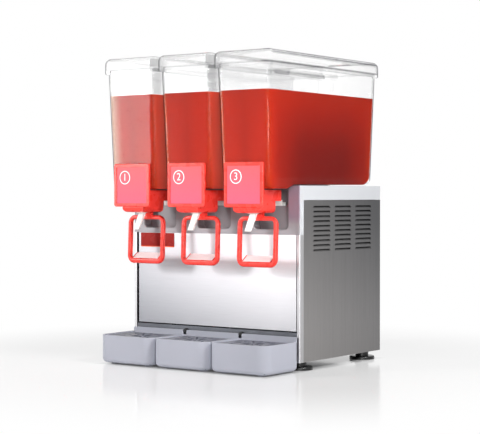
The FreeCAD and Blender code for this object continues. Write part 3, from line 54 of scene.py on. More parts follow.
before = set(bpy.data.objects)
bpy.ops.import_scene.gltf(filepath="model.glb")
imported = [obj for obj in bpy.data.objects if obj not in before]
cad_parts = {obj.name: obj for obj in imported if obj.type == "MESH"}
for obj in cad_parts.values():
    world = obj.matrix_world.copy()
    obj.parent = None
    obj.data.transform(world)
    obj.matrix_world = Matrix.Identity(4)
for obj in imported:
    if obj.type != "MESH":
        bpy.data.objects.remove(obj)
CAD_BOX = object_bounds()

BAYS = ("left", "centre", "right")

# Inside of a bowl, as its walls are drawn: sizes in metres, heights from the counter
RIM_TOP = 0.615
BOWL_FLOOR = 0.376
SUMP_FLOOR = 0.367
WALL = 0.003
FRONT_AT_RIM = -0.1985
REAR_AT_RIM = 0.2135
HALF_AT_RIM = 0.0639
END_DRAFT = math.tan(math.radians(2.9))
SIDE_DRAFT = math.tan(math.radians(1.0))
CORNER = 0.012
REAR_BEND = 0.038
FRONT_BEND = 0.010
SLOPE_FRONT = -0.1238
SLOPE_REAR = -0.0985
CORNER_STEPS = 8

# Faces that the loose details lie on
REAR_FACE = 0.2005
COVER_RIM = 0.007


def bay_x(side):
    """Middle of a bay, read from its tray."""
    low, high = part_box("drip_tray_" + side)
    return (low.x + high.x) / 2


def linear(red, green, blue):
    """Scene-linear colour of an sRGB colour given from 0 to 255."""
    shares = (value / 255 for value in (red, green, blue))
    return tuple(s / 12.92 if s <= 0.04045 else ((s + 0.055) / 1.055) ** 2.4 for s in shares)


# Properties
def colour_property(name, description, red, green, blue):
    return FloatVectorProperty(
        name=name, description=description, subtype="COLOR", size=3, min=0.0, max=1.0,
        default=linear(red, green, blue))


class DispenserColours(bpy.types.PropertyGroup):
    drink: colour_property("Drink", "Colour of the drink over most of the bowl", 179, 41, 25)
    # Painted shade: the deep colour darkens the drink where it is deepest. Painted light: the edge colour
    # makes the drink glow at its walls.
    drink_deep: colour_property("Drink depth", "Colour of the drink where it is deepest", 114, 24, 19)
    drink_edge: colour_property("Drink edge", "Colour of the drink where light passes its edges", 164, 44, 18)
    red: colour_property("Tap red", "Plastic of the taps, covers and levers", 246, 62, 52)
    label: colour_property("Label", "Film in the recess of each tap cover", 240, 98, 102)
    tray: colour_property("Tray", "Plastic of the drip trays", 180, 182, 193)
    grid: colour_property("Grid", "Plastic of the drip grids", 88, 90, 102)
    plate: colour_property("Name plate", "Enamel of the plate on the front panel", 148, 32, 28)


class DispenserSizes(bpy.types.PropertyGroup):
    drink_level: FloatProperty(
        name="Drink level", description="Height of the drink's surface above the counter",
        default=0.5617, min=0.42, max=0.6, unit="LENGTH")
    drink_overlap: FloatProperty(
        name="Wetting", description="How far the drink reaches into the bowl wall, so no air shows between",
        default=0.0004, min=0.0, max=0.001, unit="LENGTH")
    label_thickness: FloatProperty(
        name="Label thickness", description="Thickness of the film in a tap cover",
        default=0.0004, min=0.0001, max=0.001, unit="LENGTH")
    label_ring: FloatProperty(
        name="Label ring", description="Outer radius of the ring printed on a label",
        default=0.0142, min=0.005, max=0.03, unit="LENGTH")
    screw_radius: FloatProperty(
        name="Screw head", description="Radius of the screw heads on the rear panel",
        default=0.0035, min=0.001, max=0.006, unit="LENGTH")
    dial_numbers: IntProperty(
        name="Dial numbers", description="How many cold settings are printed round the thermostat knob",
        default=7, min=3, max=9)


class DispenserStudio(bpy.types.PropertyGroup):
    camera_place: FloatVectorProperty(
        name="Camera", description="Where the camera stands", subtype="TRANSLATION", size=3,
        default=(1.8310, -2.5390, 0.3553))
    camera_azimuth: FloatProperty(
        name="Azimuth", description="Direction from which the camera looks", subtype="ANGLE",
        default=math.radians(35.854))
    camera_elevation: FloatProperty(
        name="Elevation", description="How steeply the camera looks down", subtype="ANGLE",
        default=math.radians(0.884))
    lens: FloatProperty(
        name="Lens", description="Focal length in millimetres on a 36 mm wide sensor", default=110.0,
        min=10.0, max=500.0)
    fill: FloatProperty(
        name="Fill", description="Strength of the even light from all round", default=0.26, min=0.0, max=2.0)
    shade: FloatProperty(
        name="Shade", description="How much darker the studio's rear right looks in a gloss", default=0.6,
        min=0.0, max=1.0)


# Mesh making
SAME_PLACE = 1e-7
ROUND_STEPS = 48


def new_piece(name, mesh, material, place=(0, 0, 0)):
    piece = bpy.data.objects.new(name, mesh)
    bpy.context.scene.collection.objects.link(piece)
    piece.location = place
    mesh.materials.clear()
    mesh.materials.append(material)
    return piece


def mesh_from(name, build, smooth_angle=None):
    """Mesh that build fills, given an empty bmesh. Edges flatter than smooth_angle are shaded smooth."""
    work = bmesh.new()
    build(work)
    bmesh.ops.remove_doubles(work, verts=work.verts, dist=1e-6)
    bmesh.ops.recalc_face_normals(work, faces=work.faces)
    if smooth_angle is not None:
        for face in work.faces:
            face.smooth = True
        for edge in work.edges:
            edge.smooth = len(edge.link_faces) == 2 and edge.calc_face_angle(0) < math.radians(smooth_angle)
    mesh = bpy.data.meshes.new(name)
    work.to_mesh(mesh)
    work.free()
    return mesh


def distinct(corners):
    """Corners without those that lie on an earlier one."""
    kept = []
    for corner in corners:
        if all((corner.co - other.co).length > SAME_PLACE for other in kept):
            kept.append(corner)
    return kept


def add_rings(work, rings, looped=False):
    """Skins a list of rings with equally many points. The outer two are capped, or joined if looped."""
    rows = [[work.verts.new(point) for point in ring] for ring in rings]
    for low, high in zip(rows, rows[1:] + rows[:1] if looped else rows[1:]):
        for k in range(len(low)):
            after = (k + 1) % len(low)
            corners = distinct((low[k], low[after], high[after], high[k]))
            if len(corners) > 2:
                work.faces.new(corners)
    if not looped:
        for row in (rows[0], rows[-1]):
            work.faces.new(distinct(row))


def circle(radius, steps=ROUND_STEPS):
    """Points round the origin."""
    turns = [2 * math.pi * k / steps for k in range(steps)]
    return [(radius * math.cos(turn), radius * math.sin(turn)) for turn in turns]


def rounded_rectangle(x0, x1, y0, y1, radius, steps):
    points = []
    for cx, cy, start in (
        (x1 - radius, y0 + radius, -90), (x1 - radius, y1 - radius, 0),
        (x0 + radius, y1 - radius, 90), (x0 + radius, y0 + radius, 180),
    ):
        for k in range(steps + 1):
            angle = math.radians(start + 90 * k / steps)
            points.append((cx + radius * math.cos(angle), cy + radius * math.sin(angle)))
    return points


def add_slab(work, x0, x1, y0, y1, z0, z1, radius, steps=5):
    """Upright plate in the XZ plane with rounded corners, from y0 to y1."""
    outline = rounded_rectangle(x0, x1, z0, z1, radius, steps)
    add_rings(work, [[(x, y, z) for x, z in outline] for y in (y0, y1)])


def ring_mesh(name, outer, inner, depth):
    """Flat ring in the XZ plane, centred on the origin, its back at y 0."""
    edges = ((outer, 0), (outer, -depth), (inner, -depth), (inner, 0))
    rings = [[(x, y, z) for x, z in circle(radius)] for radius, y in edges]
    return mesh_from(name, lambda work: add_rings(work, rings, looped=True), smooth_angle=30)


def number_mesh(text, height, depth):
    """Mesh of a plain number, centred, standing in the XZ plane and facing -Y."""
    curve = bpy.data.curves.new("number", "FONT")
    curve.body = text
    curve.size = height
    curve.extrude = depth / 2
    curve.align_x = "CENTER"
    curve.align_y = "CENTER"
    holder = bpy.data.objects.new("number", curve)
    bpy.context.scene.collection.objects.link(holder)
    bpy.context.view_layer.update()
    mesh = bpy.data.meshes.new_from_object(holder.evaluated_get(bpy.context.evaluated_depsgraph_get()))
    bpy.data.objects.remove(holder)
    mesh.transform(Matrix.Rotation(math.radians(90), 4, "X"))
    return mesh


def gather(name, meshes, material):
    """One piece from several (mesh, matrix) pairs."""
    work = bmesh.new()
    for mesh, matrix in meshes:
        mesh.transform(matrix)
        work.from_mesh(mesh)
        bpy.data.meshes.remove(mesh)
    whole = bpy.data.meshes.new(name)
    work.to_mesh(whole)
    work.free()
    return new_piece(name, whole, material)


# Finishes
WHITE = (1.0, 1.0, 1.0)


def add_node(tree, kind, inputs, **settings):
    """Node with its settings and inputs. An input is a source, a value or a colour, or None to leave it."""
    node = tree.nodes.new("ShaderNode" + kind)
    for name, value in settings.items():
        setattr(node, name, value)
    for name, value in inputs.items():
        socket = node.inputs[name]
        if isinstance(value, bpy.types.NodeSocket):
            tree.links.new(value, socket)
        elif value is not None:
            socket.default_value = (*value, 1.0) if socket.type == "RGBA" else value
    return node


def maths(tree, operation, first, *others):
    """Operation on a source, carried on over any others. Each is a source or a number."""
    for second in others or (None,):
        first = add_node(tree, "Math", {0: first, 1: second}, operation=operation).outputs["Value"]
    return first


def in_view(tree):
    """1 for what the eye meets, also in a gloss or through clear plastic, and 0 for light on its way."""
    path = tree.nodes.new("ShaderNodeLightPath")
    seen = maths(tree, "MAXIMUM", path.outputs["Is Camera Ray"], path.outputs["Is Transmission Ray"],
                 path.outputs["Is Glossy Ray"])
    return maths(tree, "MULTIPLY", seen, maths(tree, "LESS_THAN", path.outputs["Diffuse Depth"], 0.5))


def mix_shaders(tree, factor, first, second, output):
    """Shows first where factor is 0 and second where it is 1."""
    mixer = add_node(tree, "MixShader", {0: factor, 1: first.outputs[0], 2: second.outputs[0]})
    tree.links.new(mixer.outputs["Shader"], output.inputs["Surface"])


class Finish:
    """A material in the making: one Principled shader and the patterns that feed it."""

    def __init__(self, name, colour, roughness, metallic=0.0, **sockets):
        self.material = bpy.data.materials.new(name)
        self.material.use_nodes = True
        self.tree = self.material.node_tree
        self.tree.nodes.clear()
        values = {"Base Color": colour, "Roughness": roughness, "Metallic": metallic}
        values.update((socket.replace("_", " "), value) for socket, value in sockets.items())
        self.shader = add_node(self.tree, "BsdfPrincipled", values)
        self.output = add_node(self.tree, "OutputMaterial", {"Surface": self.shader.outputs["BSDF"]})
        self.coordinates = self.tree.nodes.new("ShaderNodeTexCoord").outputs["Object"]
        self.normal = None

    def add(self, kind, inputs, **settings):
        return add_node(self.tree, kind, inputs, **settings)

    def feed(self, socket, source):
        self.tree.links.new(source, self.shader.inputs[socket])

    def noise(self, scale, detail=2.0, stretch=(1.0, 1.0, 1.0)):
        place = self.add("Mapping", {"Vector": self.coordinates, "Scale": stretch}).outputs["Vector"]
        return self.add("TexNoise", {"Vector": place, "Scale": scale, "Detail": detail}).outputs["Fac"]

    def span(self, source, low, high, to_low=0.0, to_high=1.0, smooth=False):
        """Source from low..high brought to to_low..to_high, and kept there."""
        limits = {"Value": source, "From Min": low, "From Max": high, "To Min": to_low, "To Max": to_high}
        way = "SMOOTHSTEP" if smooth else "LINEAR"
        return self.add("MapRange", limits, interpolation_type=way).outputs["Result"]

    def fall(self, source, low, high, strength=1.0, smooth=False):
        """Strength up to low, down to nothing at high."""
        return self.span(source, low, high, strength, 0.0, smooth)

    def within(self, source, low, high, soft, strength=1.0):
        """Strength between low and high, fading over soft beyond them."""
        return self.times(self.span(source, low - soft, low), self.fall(source, high, high + soft, strength))

    def maths(self, operation, first, *others):
        return maths(self.tree, operation, first, *others)

    def times(self, *sources):
        return self.maths("MULTIPLY", *sources)

    def plus(self, *sources):
        return self.maths("ADD", *sources)

    def minus(self, first, second):
        return self.maths("SUBTRACT", first, second)

    def most(self, *sources):
        return self.maths("MAXIMUM", *sources)

    def absolute(self, source):
        return self.maths("ABSOLUTE", source)

    def swing(self, source, reach):
        """A noise brought round nought."""
        return self.times(self.minus(source, 0.5), reach)

    def parts(self, source):
        return tuple(self.add("SeparateXYZ", {"Vector": source}).outputs)

    def axes(self):
        """X, Y and Z on the piece."""
        return self.parts(self.coordinates)

    def geometry(self, output):
        """X, Y and Z of a place in the scene (Position) or of a face's direction (True Normal)."""
        return self.parts(self.tree.nodes.new("ShaderNodeNewGeometry").outputs[output])

    def blend(self, factor, first, second):
        """Colour between first and second, each a colour or a source."""
        # A mix node takes its factor at 0 and colours at 6 and 7, and gives a colour at 2
        return self.add("Mix", {0: factor, 6: first, 7: second}, data_type="RGBA").outputs[2]

    def tones(self, source, colour, shift):
        """Colour that goes from a little darker to a little lighter with source."""
        dark = tuple(c * (1 - shift) for c in colour)
        light = tuple(min(1.0, c * (1 + shift)) for c in colour)
        return self.blend(source, dark, light)

    def vary_colour(self, source, colour, shift):
        self.feed("Base Color", self.tones(source, colour, shift))

    def vary_roughness(self, source, low, high):
        self.feed("Roughness", self.span(source, 0.3, 0.7, low, high))

    def bump(self, source, depth):
        """Relief of the given depth in metres, on top of any made before."""
        relief = {"Height": source, "Strength": 1.0, "Distance": depth, "Normal": self.normal}
        self.normal = self.add("Bump", relief).outputs["Normal"]
        self.feed("Normal", self.normal)


def moulded(name, colour, roughness, spark=900.0, depth=0.00002, coat=0.0, shift=0.05):
    """Moulded plastic with a fine spark-eroded grain and faint flow marks."""
    finish = Finish(name, colour, roughness, Coat_Weight=coat, Coat_Roughness=0.08)
    flow = finish.noise(9.0, 3.0)
    finish.vary_colour(finish.span(flow, 0.3, 0.7), colour, shift)
    finish.vary_roughness(flow, roughness * 0.85, min(1.0, roughness * 1.2))
    finish.bump(finish.noise(spark), depth)
    return finish.material


def gloss_red(name, colour):
    """Polished red plastic with soft sink marks and a clear, hard shine."""
    finish = Finish(name, colour, 0.28, Coat_Weight=0.12, Coat_Roughness=0.08, Specular_IOR_Level=0.3)
    flow = finish.noise(14.0, 3.0)
    sink = finish.noise(60.0, 1.0)
    finish.vary_colour(finish.span(flow, 0.3, 0.7), colour, 0.06)
    finish.vary_roughness(sink, 0.24, 0.34)
    finish.bump(sink, 0.00012)
    finish.bump(finish.noise(1500.0), 0.000008)
    return finish.material


def brush(finish, along, roughness, spread):
    """Brushes a finish along one axis and returns its hairlines."""
    stretch = tuple(0.012 if axis == along else 1.0 for axis in "XYZ")
    hair = finish.noise(1800.0, 3.0, stretch)
    broad = finish.noise(140.0, 2.0, stretch)
    finish.vary_roughness(broad, max(0.02, roughness - spread), roughness + spread)
    finish.bump(hair, 0.00001)
    return hair


def brushed(name, colour, roughness, along, shift=0.06):
    """Stainless sheet brushed along one axis."""
    finish = Finish(name, colour, roughness, 1.0)
    hair = brush(finish, along, roughness, 0.08)
    finish.vary_colour(finish.span(finish.plus(hair, finish.noise(5.0)), 0.6, 1.4), colour, shift)
    return finish.material


def rubber(name, colour, roughness=0.35):
    """Black rubber with a moulding grain and a patchy dusting."""
    finish = Finish(name, colour, roughness)
    grain = finish.noise(500.0, 3.0)
    dust = finish.noise(40.0, 3.0)
    finish.vary_colour(finish.span(dust, 0.45, 0.75), colour, 0.4)
    finish.vary_roughness(grain, roughness * 0.8, roughness * 1.3)
    finish.bump(grain, 0.00003)
    return finish.material


def cast_metal(name, colour, roughness, metallic=1.0, grain=260.0, depth=0.00004):
    """Pressed or plated metal with a mottled skin."""
    finish = Finish(name, colour, roughness, metallic)
    mottle = finish.noise(grain, 4.0)
    cloud = finish.noise(18.0, 3.0)
    finish.vary_colour(finish.span(cloud, 0.3, 0.7), colour, 0.15)
    finish.vary_roughness(mottle, roughness * 0.75, min(1.0, roughness * 1.3))
    finish.bump(mottle, depth)
    return finish.material


def across_bays(finish, x):
    """Middle of the bay that each point stands in."""
    pitch = bay_x("right") - bay_x("centre")
    return finish.times(finish.maths("ROUND", finish.maths("DIVIDE", x, pitch)), pitch)


def clear_plastic(name, level, shade_lines, shade_bars):
    """Clear moulded wall with painted shade: greyer where it turns away, beside a neighbour, along lines and
    at bars.

    A painted glow lies in each left wall above the drink. A shade line goes all round, and a shade bar stands
    in the right bay's left wall. Each is (low, high, strength).
    """
    finish = Finish(name, WHITE, 0.0, Transmission_Weight=1.0, IOR=1.12, Coat_Roughness=0.02)
    side_wall, soft, line_soft = 0.057, 0.001, 0.0004
    painted_glow = 0.11
    x, y, z = finish.axes()
    _, ahead, up = finish.geometry("True Normal")
    flat = finish.absolute(up)
    upright = finish.fall(flat, 0.5, 0.9)
    inner = finish.minus(x, across_bays(finish, x))
    left_wall = finish.fall(inner, -side_wall - soft, -side_wall)
    right_wall = finish.span(inner, side_wall - soft, side_wall)
    above_drink = finish.span(z, level, level + soft)

    # Painted shade: the wall greys where it turns away from the eye, along the shade lines and bars, and
    # beside a neighbour.
    grazing = finish.add("LayerWeight", {"Blend": 0.5}).outputs["Facing"]
    shade = finish.times(finish.span(grazing, 0.47, 0.58), upright)
    left_side = finish.times(left_wall, finish.span(y, -0.195, -0.185))
    turned = finish.times(finish.fall(flat, 0.975, 0.985), finish.minus(1.0, left_side))
    for low, high, strength in shade_lines:
        at_right = finish.span(x, 0.190, 0.195, strength, min(1.0, strength + 0.4))
        shade = finish.most(shade, finish.times(finish.within(z, low, high, line_soft), at_right, turned))
    bar_run = finish.times(finish.span(y, -0.002, 0.004), finish.fall(y, 0.194, 0.198),
                           finish.span(x, 0.05, 0.06))
    for low, high, strength in shade_bars:
        bar = finish.within(z, low, high, line_soft, strength)
        shade = finish.most(shade, finish.times(bar, bar_run, left_wall, upright))
    painted_gap_shade = finish.times(right_wall, finish.fall(x, 0.10, 0.11, 0.5), finish.fall(y, -0.175, -0.150),
                          above_drink, upright)
    shade = finish.most(shade, painted_gap_shade)

    clear = finish.minus(1.0, shade)
    finish.feed("Coat Weight", finish.times(finish.span(finish.absolute(ahead), 0.9, 0.99, 0.12, 0.6), clear))
    # Painted light: a faint glow in each left wall above the drink.
    finish.feed("Emission Strength", finish.times(left_wall, above_drink, painted_glow, clear))
    finish.feed("Base Color", finish.blend(shade, WHITE, (0.04, 0.04, 0.05)))
    finish.feed("Alpha", finish.most(finish.span(upright, 0.0, 1.0, 0.04, 0.55),
                                     finish.span(shade, 0.05, 0.6, 0.04, 0.95)))
    finish.vary_roughness(finish.noise(420.0), 0.0, 0.03)
    finish.bump(finish.noise(16.0), 0.0002)
    return finish.material


def drink_finish(colours, level):
    """Cloudy drink with painted light where light would glow through its edges and its head, and painted
    shade that darkens it towards the middle and the bottom.
    """
    drink = tuple(colours.drink)
    finish = Finish("drink", drink, 0.12, Specular_IOR_Level=0.02)
    x, y, z = finish.axes()
    below_rim = finish.minus(RIM_TOP, z)

    def half(at_rim, draft):
        """From the middle to a drafted wall, at each height."""
        return finish.minus(at_rim - WALL, finish.times(below_rim, draft))

    middle = (FRONT_AT_RIM + REAR_AT_RIM) / 2
    half_length = half((REAR_AT_RIM - FRONT_AT_RIM) / 2, END_DRAFT)
    half_width = half(HALF_AT_RIM, SIDE_DRAFT)
    to_end = finish.minus(half_length, finish.absolute(finish.minus(y, middle)))
    to_side = finish.minus(half_width, finish.absolute(x))
    from_left = finish.plus(half_width, x)
    cloud = finish.noise(22.0, 3.0)
    stray = finish.swing(cloud, 0.02)
    wander = finish.plus(finish.most(to_end, to_side), stray)
    depth = finish.plus(to_end, stray)

    # Painted light near the walls and the head, and painted shade deeper in and lower down.
    near = finish.times(wander, finish.span(y, -0.05, 0.12, 1.0, 0.4))
    painted_head_light = finish.span(z, level - 0.05, level, 0.0, 0.2, smooth=True)
    painted_edge_glow = finish.most(finish.fall(near, 0.001, 0.012, smooth=True), painted_head_light)
    inward = finish.plus(finish.span(depth, 0.0, 0.035, 0.0, 0.62),
                         finish.span(depth, 0.02, 0.13, 0.0, 0.38, smooth=True))
    inward = finish.most(inward, finish.span(wander, 0.02, 0.12, smooth=True))
    painted_depth_shade = finish.times(inward, finish.span(z, 0.42, 0.57, 1.0, 0.4, smooth=True))
    shown = finish.blend(painted_edge_glow, finish.blend(painted_depth_shade, drink, tuple(colours.drink_deep)),
                         tuple(colours.drink_edge))

    # Painted light on the thin left edges of the fronts, and a painted reflection that makes them palest on
    # the outer bowl
    scene_x, _, _ = finish.geometry("Position")
    sideways, ahead, _ = finish.geometry("True Normal")
    gap = (bay_x("right") - bay_x("centre")) / 2
    outer = finish.fall(scene_x, -gap - 0.002, -gap + 0.002)
    painted_edge_light = finish.most(finish.fall(from_left, 0.0, 0.014, 0.9, smooth=True),
                       finish.times(outer, finish.fall(from_left, 0.0, 0.034, 0.95, smooth=True)))
    painted_edge_light = finish.times(painted_edge_light, finish.fall(ahead, -0.9, -0.5))
    shown = finish.blend(painted_edge_light, shown, finish.blend(outer, linear(186, 92, 54), linear(206, 176, 156)))
    finish.feed("Base Color", shown)

    # Painted light: the drink glows a little all over, and more on the walls that face each other across the
    # gap between two bowls
    to_gap = finish.absolute(finish.minus(finish.absolute(scene_x), gap))
    painted_gap_glow = finish.times(finish.fall(to_gap, 0.014, 0.018), finish.span(finish.absolute(sideways), 0.5, 0.8))
    finish.feed("Emission Color", finish.blend(painted_gap_glow, shown, linear(212, 102, 84)))
    finish.feed("Emission Strength", finish.span(painted_gap_glow, 0.0, 1.0, 0.08, 0.33))
    finish.vary_roughness(cloud, 0.08, 0.16)
    return finish.material


def film_finish(name, colour, foot_colour):
    """Printed film, a little paler at its head, with a soft leathery grain under the lacquer."""
    finish = Finish(name, colour, 0.3, Specular_IOR_Level=0.15)
    _, _, z = finish.axes()
    low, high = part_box("tap_cover_left")
    fibre = finish.noise(700.0, 3.0)
    tone = finish.plus(finish.fall(z, low.z, high.z), finish.swing(fibre, 0.25))
    finish.feed("Base Color", finish.blend(tone, colour, foot_colour))
    finish.vary_roughness(fibre, 0.24, 0.38)
    finish.bump(fibre, 0.00001)
    return finish.material


def deck_finish():
    """Satin deck, pale on its sides and top, with painted shade that darkens it across the front and in the
    recesses, and a painted reflection that tints the front's right end purplish.
    """
    pale = linear(206, 208, 212)
    finish = Finish("deck_satin", pale, 0.34, 0.1)
    x, y, z = finish.axes()
    _, ahead, _ = finish.geometry("True Normal")
    # Painted reflection: the front's right end is tinted purplish.
    painted_end_reflection = finish.times(finish.span(x, 0.165, 0.19), finish.span(z, 0.295, 0.31))
    front = finish.blend(painted_end_reflection, linear(150, 148, 152), linear(138, 123, 138))
    # Painted shade: the front faces are darker than the pale sides and top.
    shade = finish.blend(finish.fall(ahead, -0.9, -0.2, smooth=True), pale, front)
    low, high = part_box("top_deck")
    # Painted shade in the recesses behind the front.
    painted_recess_shade = finish.times(finish.span(y, low.y + 0.002, low.y + 0.006),
                          finish.fall(finish.absolute(x), high.x - 0.004, high.x - 0.002),
                          finish.fall(z, high.z - 0.003, high.z - 0.002, 0.8))
    shade = finish.blend(painted_recess_shade, shade, linear(116, 108, 112))
    cloud = finish.noise(7.0)
    finish.feed("Base Color", finish.blend(finish.span(cloud, 0.2, 0.8, 0.0, 0.08), shade, (0.5, 0.5, 0.52)))
    finish.vary_roughness(cloud, 0.28, 0.4)
    finish.bump(finish.noise(1500.0, 3.0, (0.02, 1.0, 1.0)), 0.000008)
    return finish.material


def plate_finish(colour):
    """Enamelled plate, deep red with a thin orange line along its foot."""
    finish = Finish("plate_enamel", colour, 0.3, Specular_IOR_Level=0.12)
    low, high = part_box("name_plate")
    _, _, z = finish.axes()
    enamel = finish.blend(finish.span(z, low.z, high.z, 0.0, 0.35), colour, linear(164, 38, 33))
    line = finish.fall(z, low.z + 0.0016, low.z + 0.0019)
    finish.feed("Base Color", finish.blend(line, enamel, linear(236, 96, 50)))
    finish.vary_roughness(finish.noise(30.0, 3.0), 0.2, 0.32)
    finish.bump(finish.noise(800.0), 0.000006)
    return finish.material


def panel_finish():
    """Brushed front sheet with a painted highlight that makes it paler up to the right."""
    finish = Finish("front_steel", linear(190, 190, 195), 0.45, 0.6)
    x, _, z = finish.axes()
    hair = brush(finish, "X", 0.45, 0.05)
    # Painted highlight: paler to the right and upwards.
    tone = finish.plus(finish.span(x, -0.2, 0.16, 0.0, 0.6), finish.span(z, 0.08, 0.27, 0.0, 0.4),
                       finish.swing(hair, 0.2))
    finish.feed("Base Color", finish.blend(tone, linear(150, 151, 157), linear(240, 239, 242)))
    return finish.material


def side_finish():
    """Brushed side sheet with painted shade: darker up towards the back and paler at its foot."""
    finish = Finish("side_brushed", linear(134, 134, 135), 0.36, 1.0)
    _, y, z = finish.axes()
    hair = brush(finish, "Z", 0.36, 0.06)
    # Painted shade: darker upwards and towards the back.
    tone = finish.plus(finish.span(z, 0.02, 0.30, 0.0, 0.5), finish.span(y, -0.1, 0.2, 0.0, 0.5),
                       finish.swing(hair, 0.3))
    finish.feed("Base Color", finish.blend(tone, linear(166, 163, 162), linear(106, 106, 108)))
    return finish.material


def tray_finish(colour):
    """Spark-eroded plastic with painted shade: darker inside, under the grid."""
    finish = Finish("tray_plastic", colour, 0.42, Specular_IOR_Level=0.3)
    low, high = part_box("drip_tray_centre")
    skin, soft = 0.008, 0.001
    x, y, z = finish.axes()
    inner = finish.absolute(finish.minus(x, across_bays(finish, x)))
    # Painted shade inside the tray, below the grid.
    painted_inside_shade = finish.times(finish.fall(inner, high.x - skin - soft, high.x - skin),
                          finish.within(y, low.y + skin + soft, high.y - skin - soft, soft),
                          finish.span(z, 0.004, 0.005), finish.fall(z, 0.050, 0.054, 0.85))
    flow = finish.noise(9.0, 3.0)
    light = finish.tones(finish.span(flow, 0.3, 0.7), colour, 0.03)
    finish.feed("Base Color", finish.blend(painted_inside_shade, light, linear(50, 52, 58)))
    finish.vary_roughness(flow, 0.36, 0.5)
    finish.bump(finish.noise(700.0), 0.00003)
    return finish.material


def paint(material, *names):
    """Gives CAD nodes their finish."""
    for name in names:
        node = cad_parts[name]
        if not node.material_slots:
            node.data.materials.append(material)
        for holder in node.material_slots:
            holder.material = material


def each_bay(piece):
    return [piece + "_" + side for side in BAYS]


# Bowls
class DISPENSER_OT_bowls(bpy.types.Operator):
    """Clear plastic for the bowls and lids"""

    bl_idname = "dispenser.bowls"
    bl_label = "Bowls and Lids"

    def execute(self, context):
        level = context.scene.dispenser_sizes.drink_level
        # Painted shade lines along the bowl rim and the lid's foot and top, and a painted shade bar on the
        # lid's lip.
        painted_rim_shade = (0.6138, 0.615, 0.3)
        painted_foot_shade = (0.615, 0.6162, 0.35)
        painted_top_shade = (0.6372, 0.6396, 0.75)
        painted_lip_shade = (0.609, 0.6174, 0.85)
        paint(clear_plastic("clear_bowl", level, (painted_rim_shade,), ()), *each_bay("bowl"))
        paint(clear_plastic("clear_lid", level, (painted_foot_shade, painted_top_shade), (painted_lip_shade,)), *each_bay("lid"))
        return {"FINISHED"}


# Drink
def ring_at(z, inset, front, rear):
    """Outline of the bowl's inside at height z, cut off at front and rear."""
    drop = RIM_TOP - z
    half = HALF_AT_RIM - drop * SIDE_DRAFT - inset
    y0 = FRONT_AT_RIM + drop * END_DRAFT + inset
    y1 = REAR_AT_RIM - drop * END_DRAFT - inset
    radius = CORNER - inset
    ring = []
    for x, y in rounded_rectangle(-half, half, y0, y1, radius, CORNER_STEPS):
        for edge, middle, sign in ((front, y0 + radius, -1), (rear, y1 - radius, 1)):
            if (y - edge) * sign > 0:
                past = max(0.0, (edge - middle) * sign)
                limit = half - radius + math.sqrt(max(0.0, radius * radius - past * past))
                x = math.copysign(min(abs(x) if abs(x) < half - radius else limit, limit), x)
                y = edge
        ring.append((x, y, z))
    return ring


def drink_rings(level, inset):
    """Outlines of the drink from its surface down to the sump."""
    wall_steps, bend_steps, sump_steps = 5, 10, 6
    rear_bend = REAR_BEND - inset
    front_bend = FRONT_BEND - inset
    floor = BOWL_FLOOR - (WALL - inset)
    sump = SUMP_FLOOR - (WALL - inset)
    far = 1.0
    rings = []
    for k in range(wall_steps):
        rings.append(ring_at(level + (floor + rear_bend - level) * k / wall_steps, inset, -far, far))
    rear_at_floor = REAR_AT_RIM - (RIM_TOP - floor) * END_DRAFT - inset
    for k in range(bend_steps):
        angle = math.radians(90 * k / bend_steps)
        z = floor + rear_bend * (1 - math.sin(angle))
        rear = rear_at_floor + (z - floor) * END_DRAFT - rear_bend * (1 - math.cos(angle))
        rings.append(ring_at(z, inset, -far, rear))
    rings.append(ring_at(floor, inset, -far, rear_at_floor - rear_bend))
    front_at_sump = FRONT_AT_RIM + (RIM_TOP - sump) * END_DRAFT + inset
    for k in range(sump_steps + 1):
        share = k / sump_steps
        z = floor + (sump - floor) * share
        rear = SLOPE_REAR + (SLOPE_FRONT - SLOPE_REAR) * share
        rise = min(1.0, (z - sump) / front_bend)
        front = front_at_sump + front_bend * (1 - math.sqrt(max(0.0, 1 - (1 - rise) ** 2)))
        rings.append(ring_at(z, inset, front, rear))
    return rings


def hollow_out(piece, radius, low, high, y):
    """Cuts a round pocket for the cooling plate and stirrer into the underside of the drink."""
    rings = [[(x, y + across, z) for x, across in circle(radius)] for z in (low, high)]
    cutter = bpy.data.objects.new("pocket", mesh_from("pocket", lambda work: add_rings(work, rings)))
    bpy.context.scene.collection.objects.link(cutter)
    cutter.location = piece.location
    cut = piece.modifiers.new("Pocket", "BOOLEAN")
    cut.operation = "DIFFERENCE"
    cut.solver = "EXACT"
    cut.object = cutter
    bpy.context.view_layer.update()
    evaluated = piece.evaluated_get(bpy.context.evaluated_depsgraph_get())
    result = bpy.data.meshes.new_from_object(evaluated)
    piece.modifiers.clear()
    piece.data = result
    bpy.data.objects.remove(cutter)


class DISPENSER_OT_drink(bpy.types.Operator):
    """The drink that stands in each bowl"""

    bl_idname = "dispenser.drink"
    bl_label = "Drink"

    def execute(self, context):
        sizes = context.scene.dispenser_sizes
        material = drink_finish(context.scene.dispenser_colours, sizes.drink_level)
        inset = WALL - sizes.drink_overlap
        low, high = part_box("cooling_plates")
        plate_y = (low.y + high.y) / 2
        pocket_radius = 0.0526
        pocket_foot = BOWL_FLOOR - 0.03
        pocket_top = high.z + 0.002
        for side in BAYS:
            rings = drink_rings(sizes.drink_level, inset)
            mesh = mesh_from("drink_" + side, lambda work: add_rings(work, rings), smooth_angle=30)
            piece = new_piece("drink_" + side, mesh, material, (bay_x(side), 0, 0))
            hollow_out(piece, pocket_radius, pocket_foot, pocket_top, plate_y)
            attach(piece, "bowl_" + side)
        return {"FINISHED"}


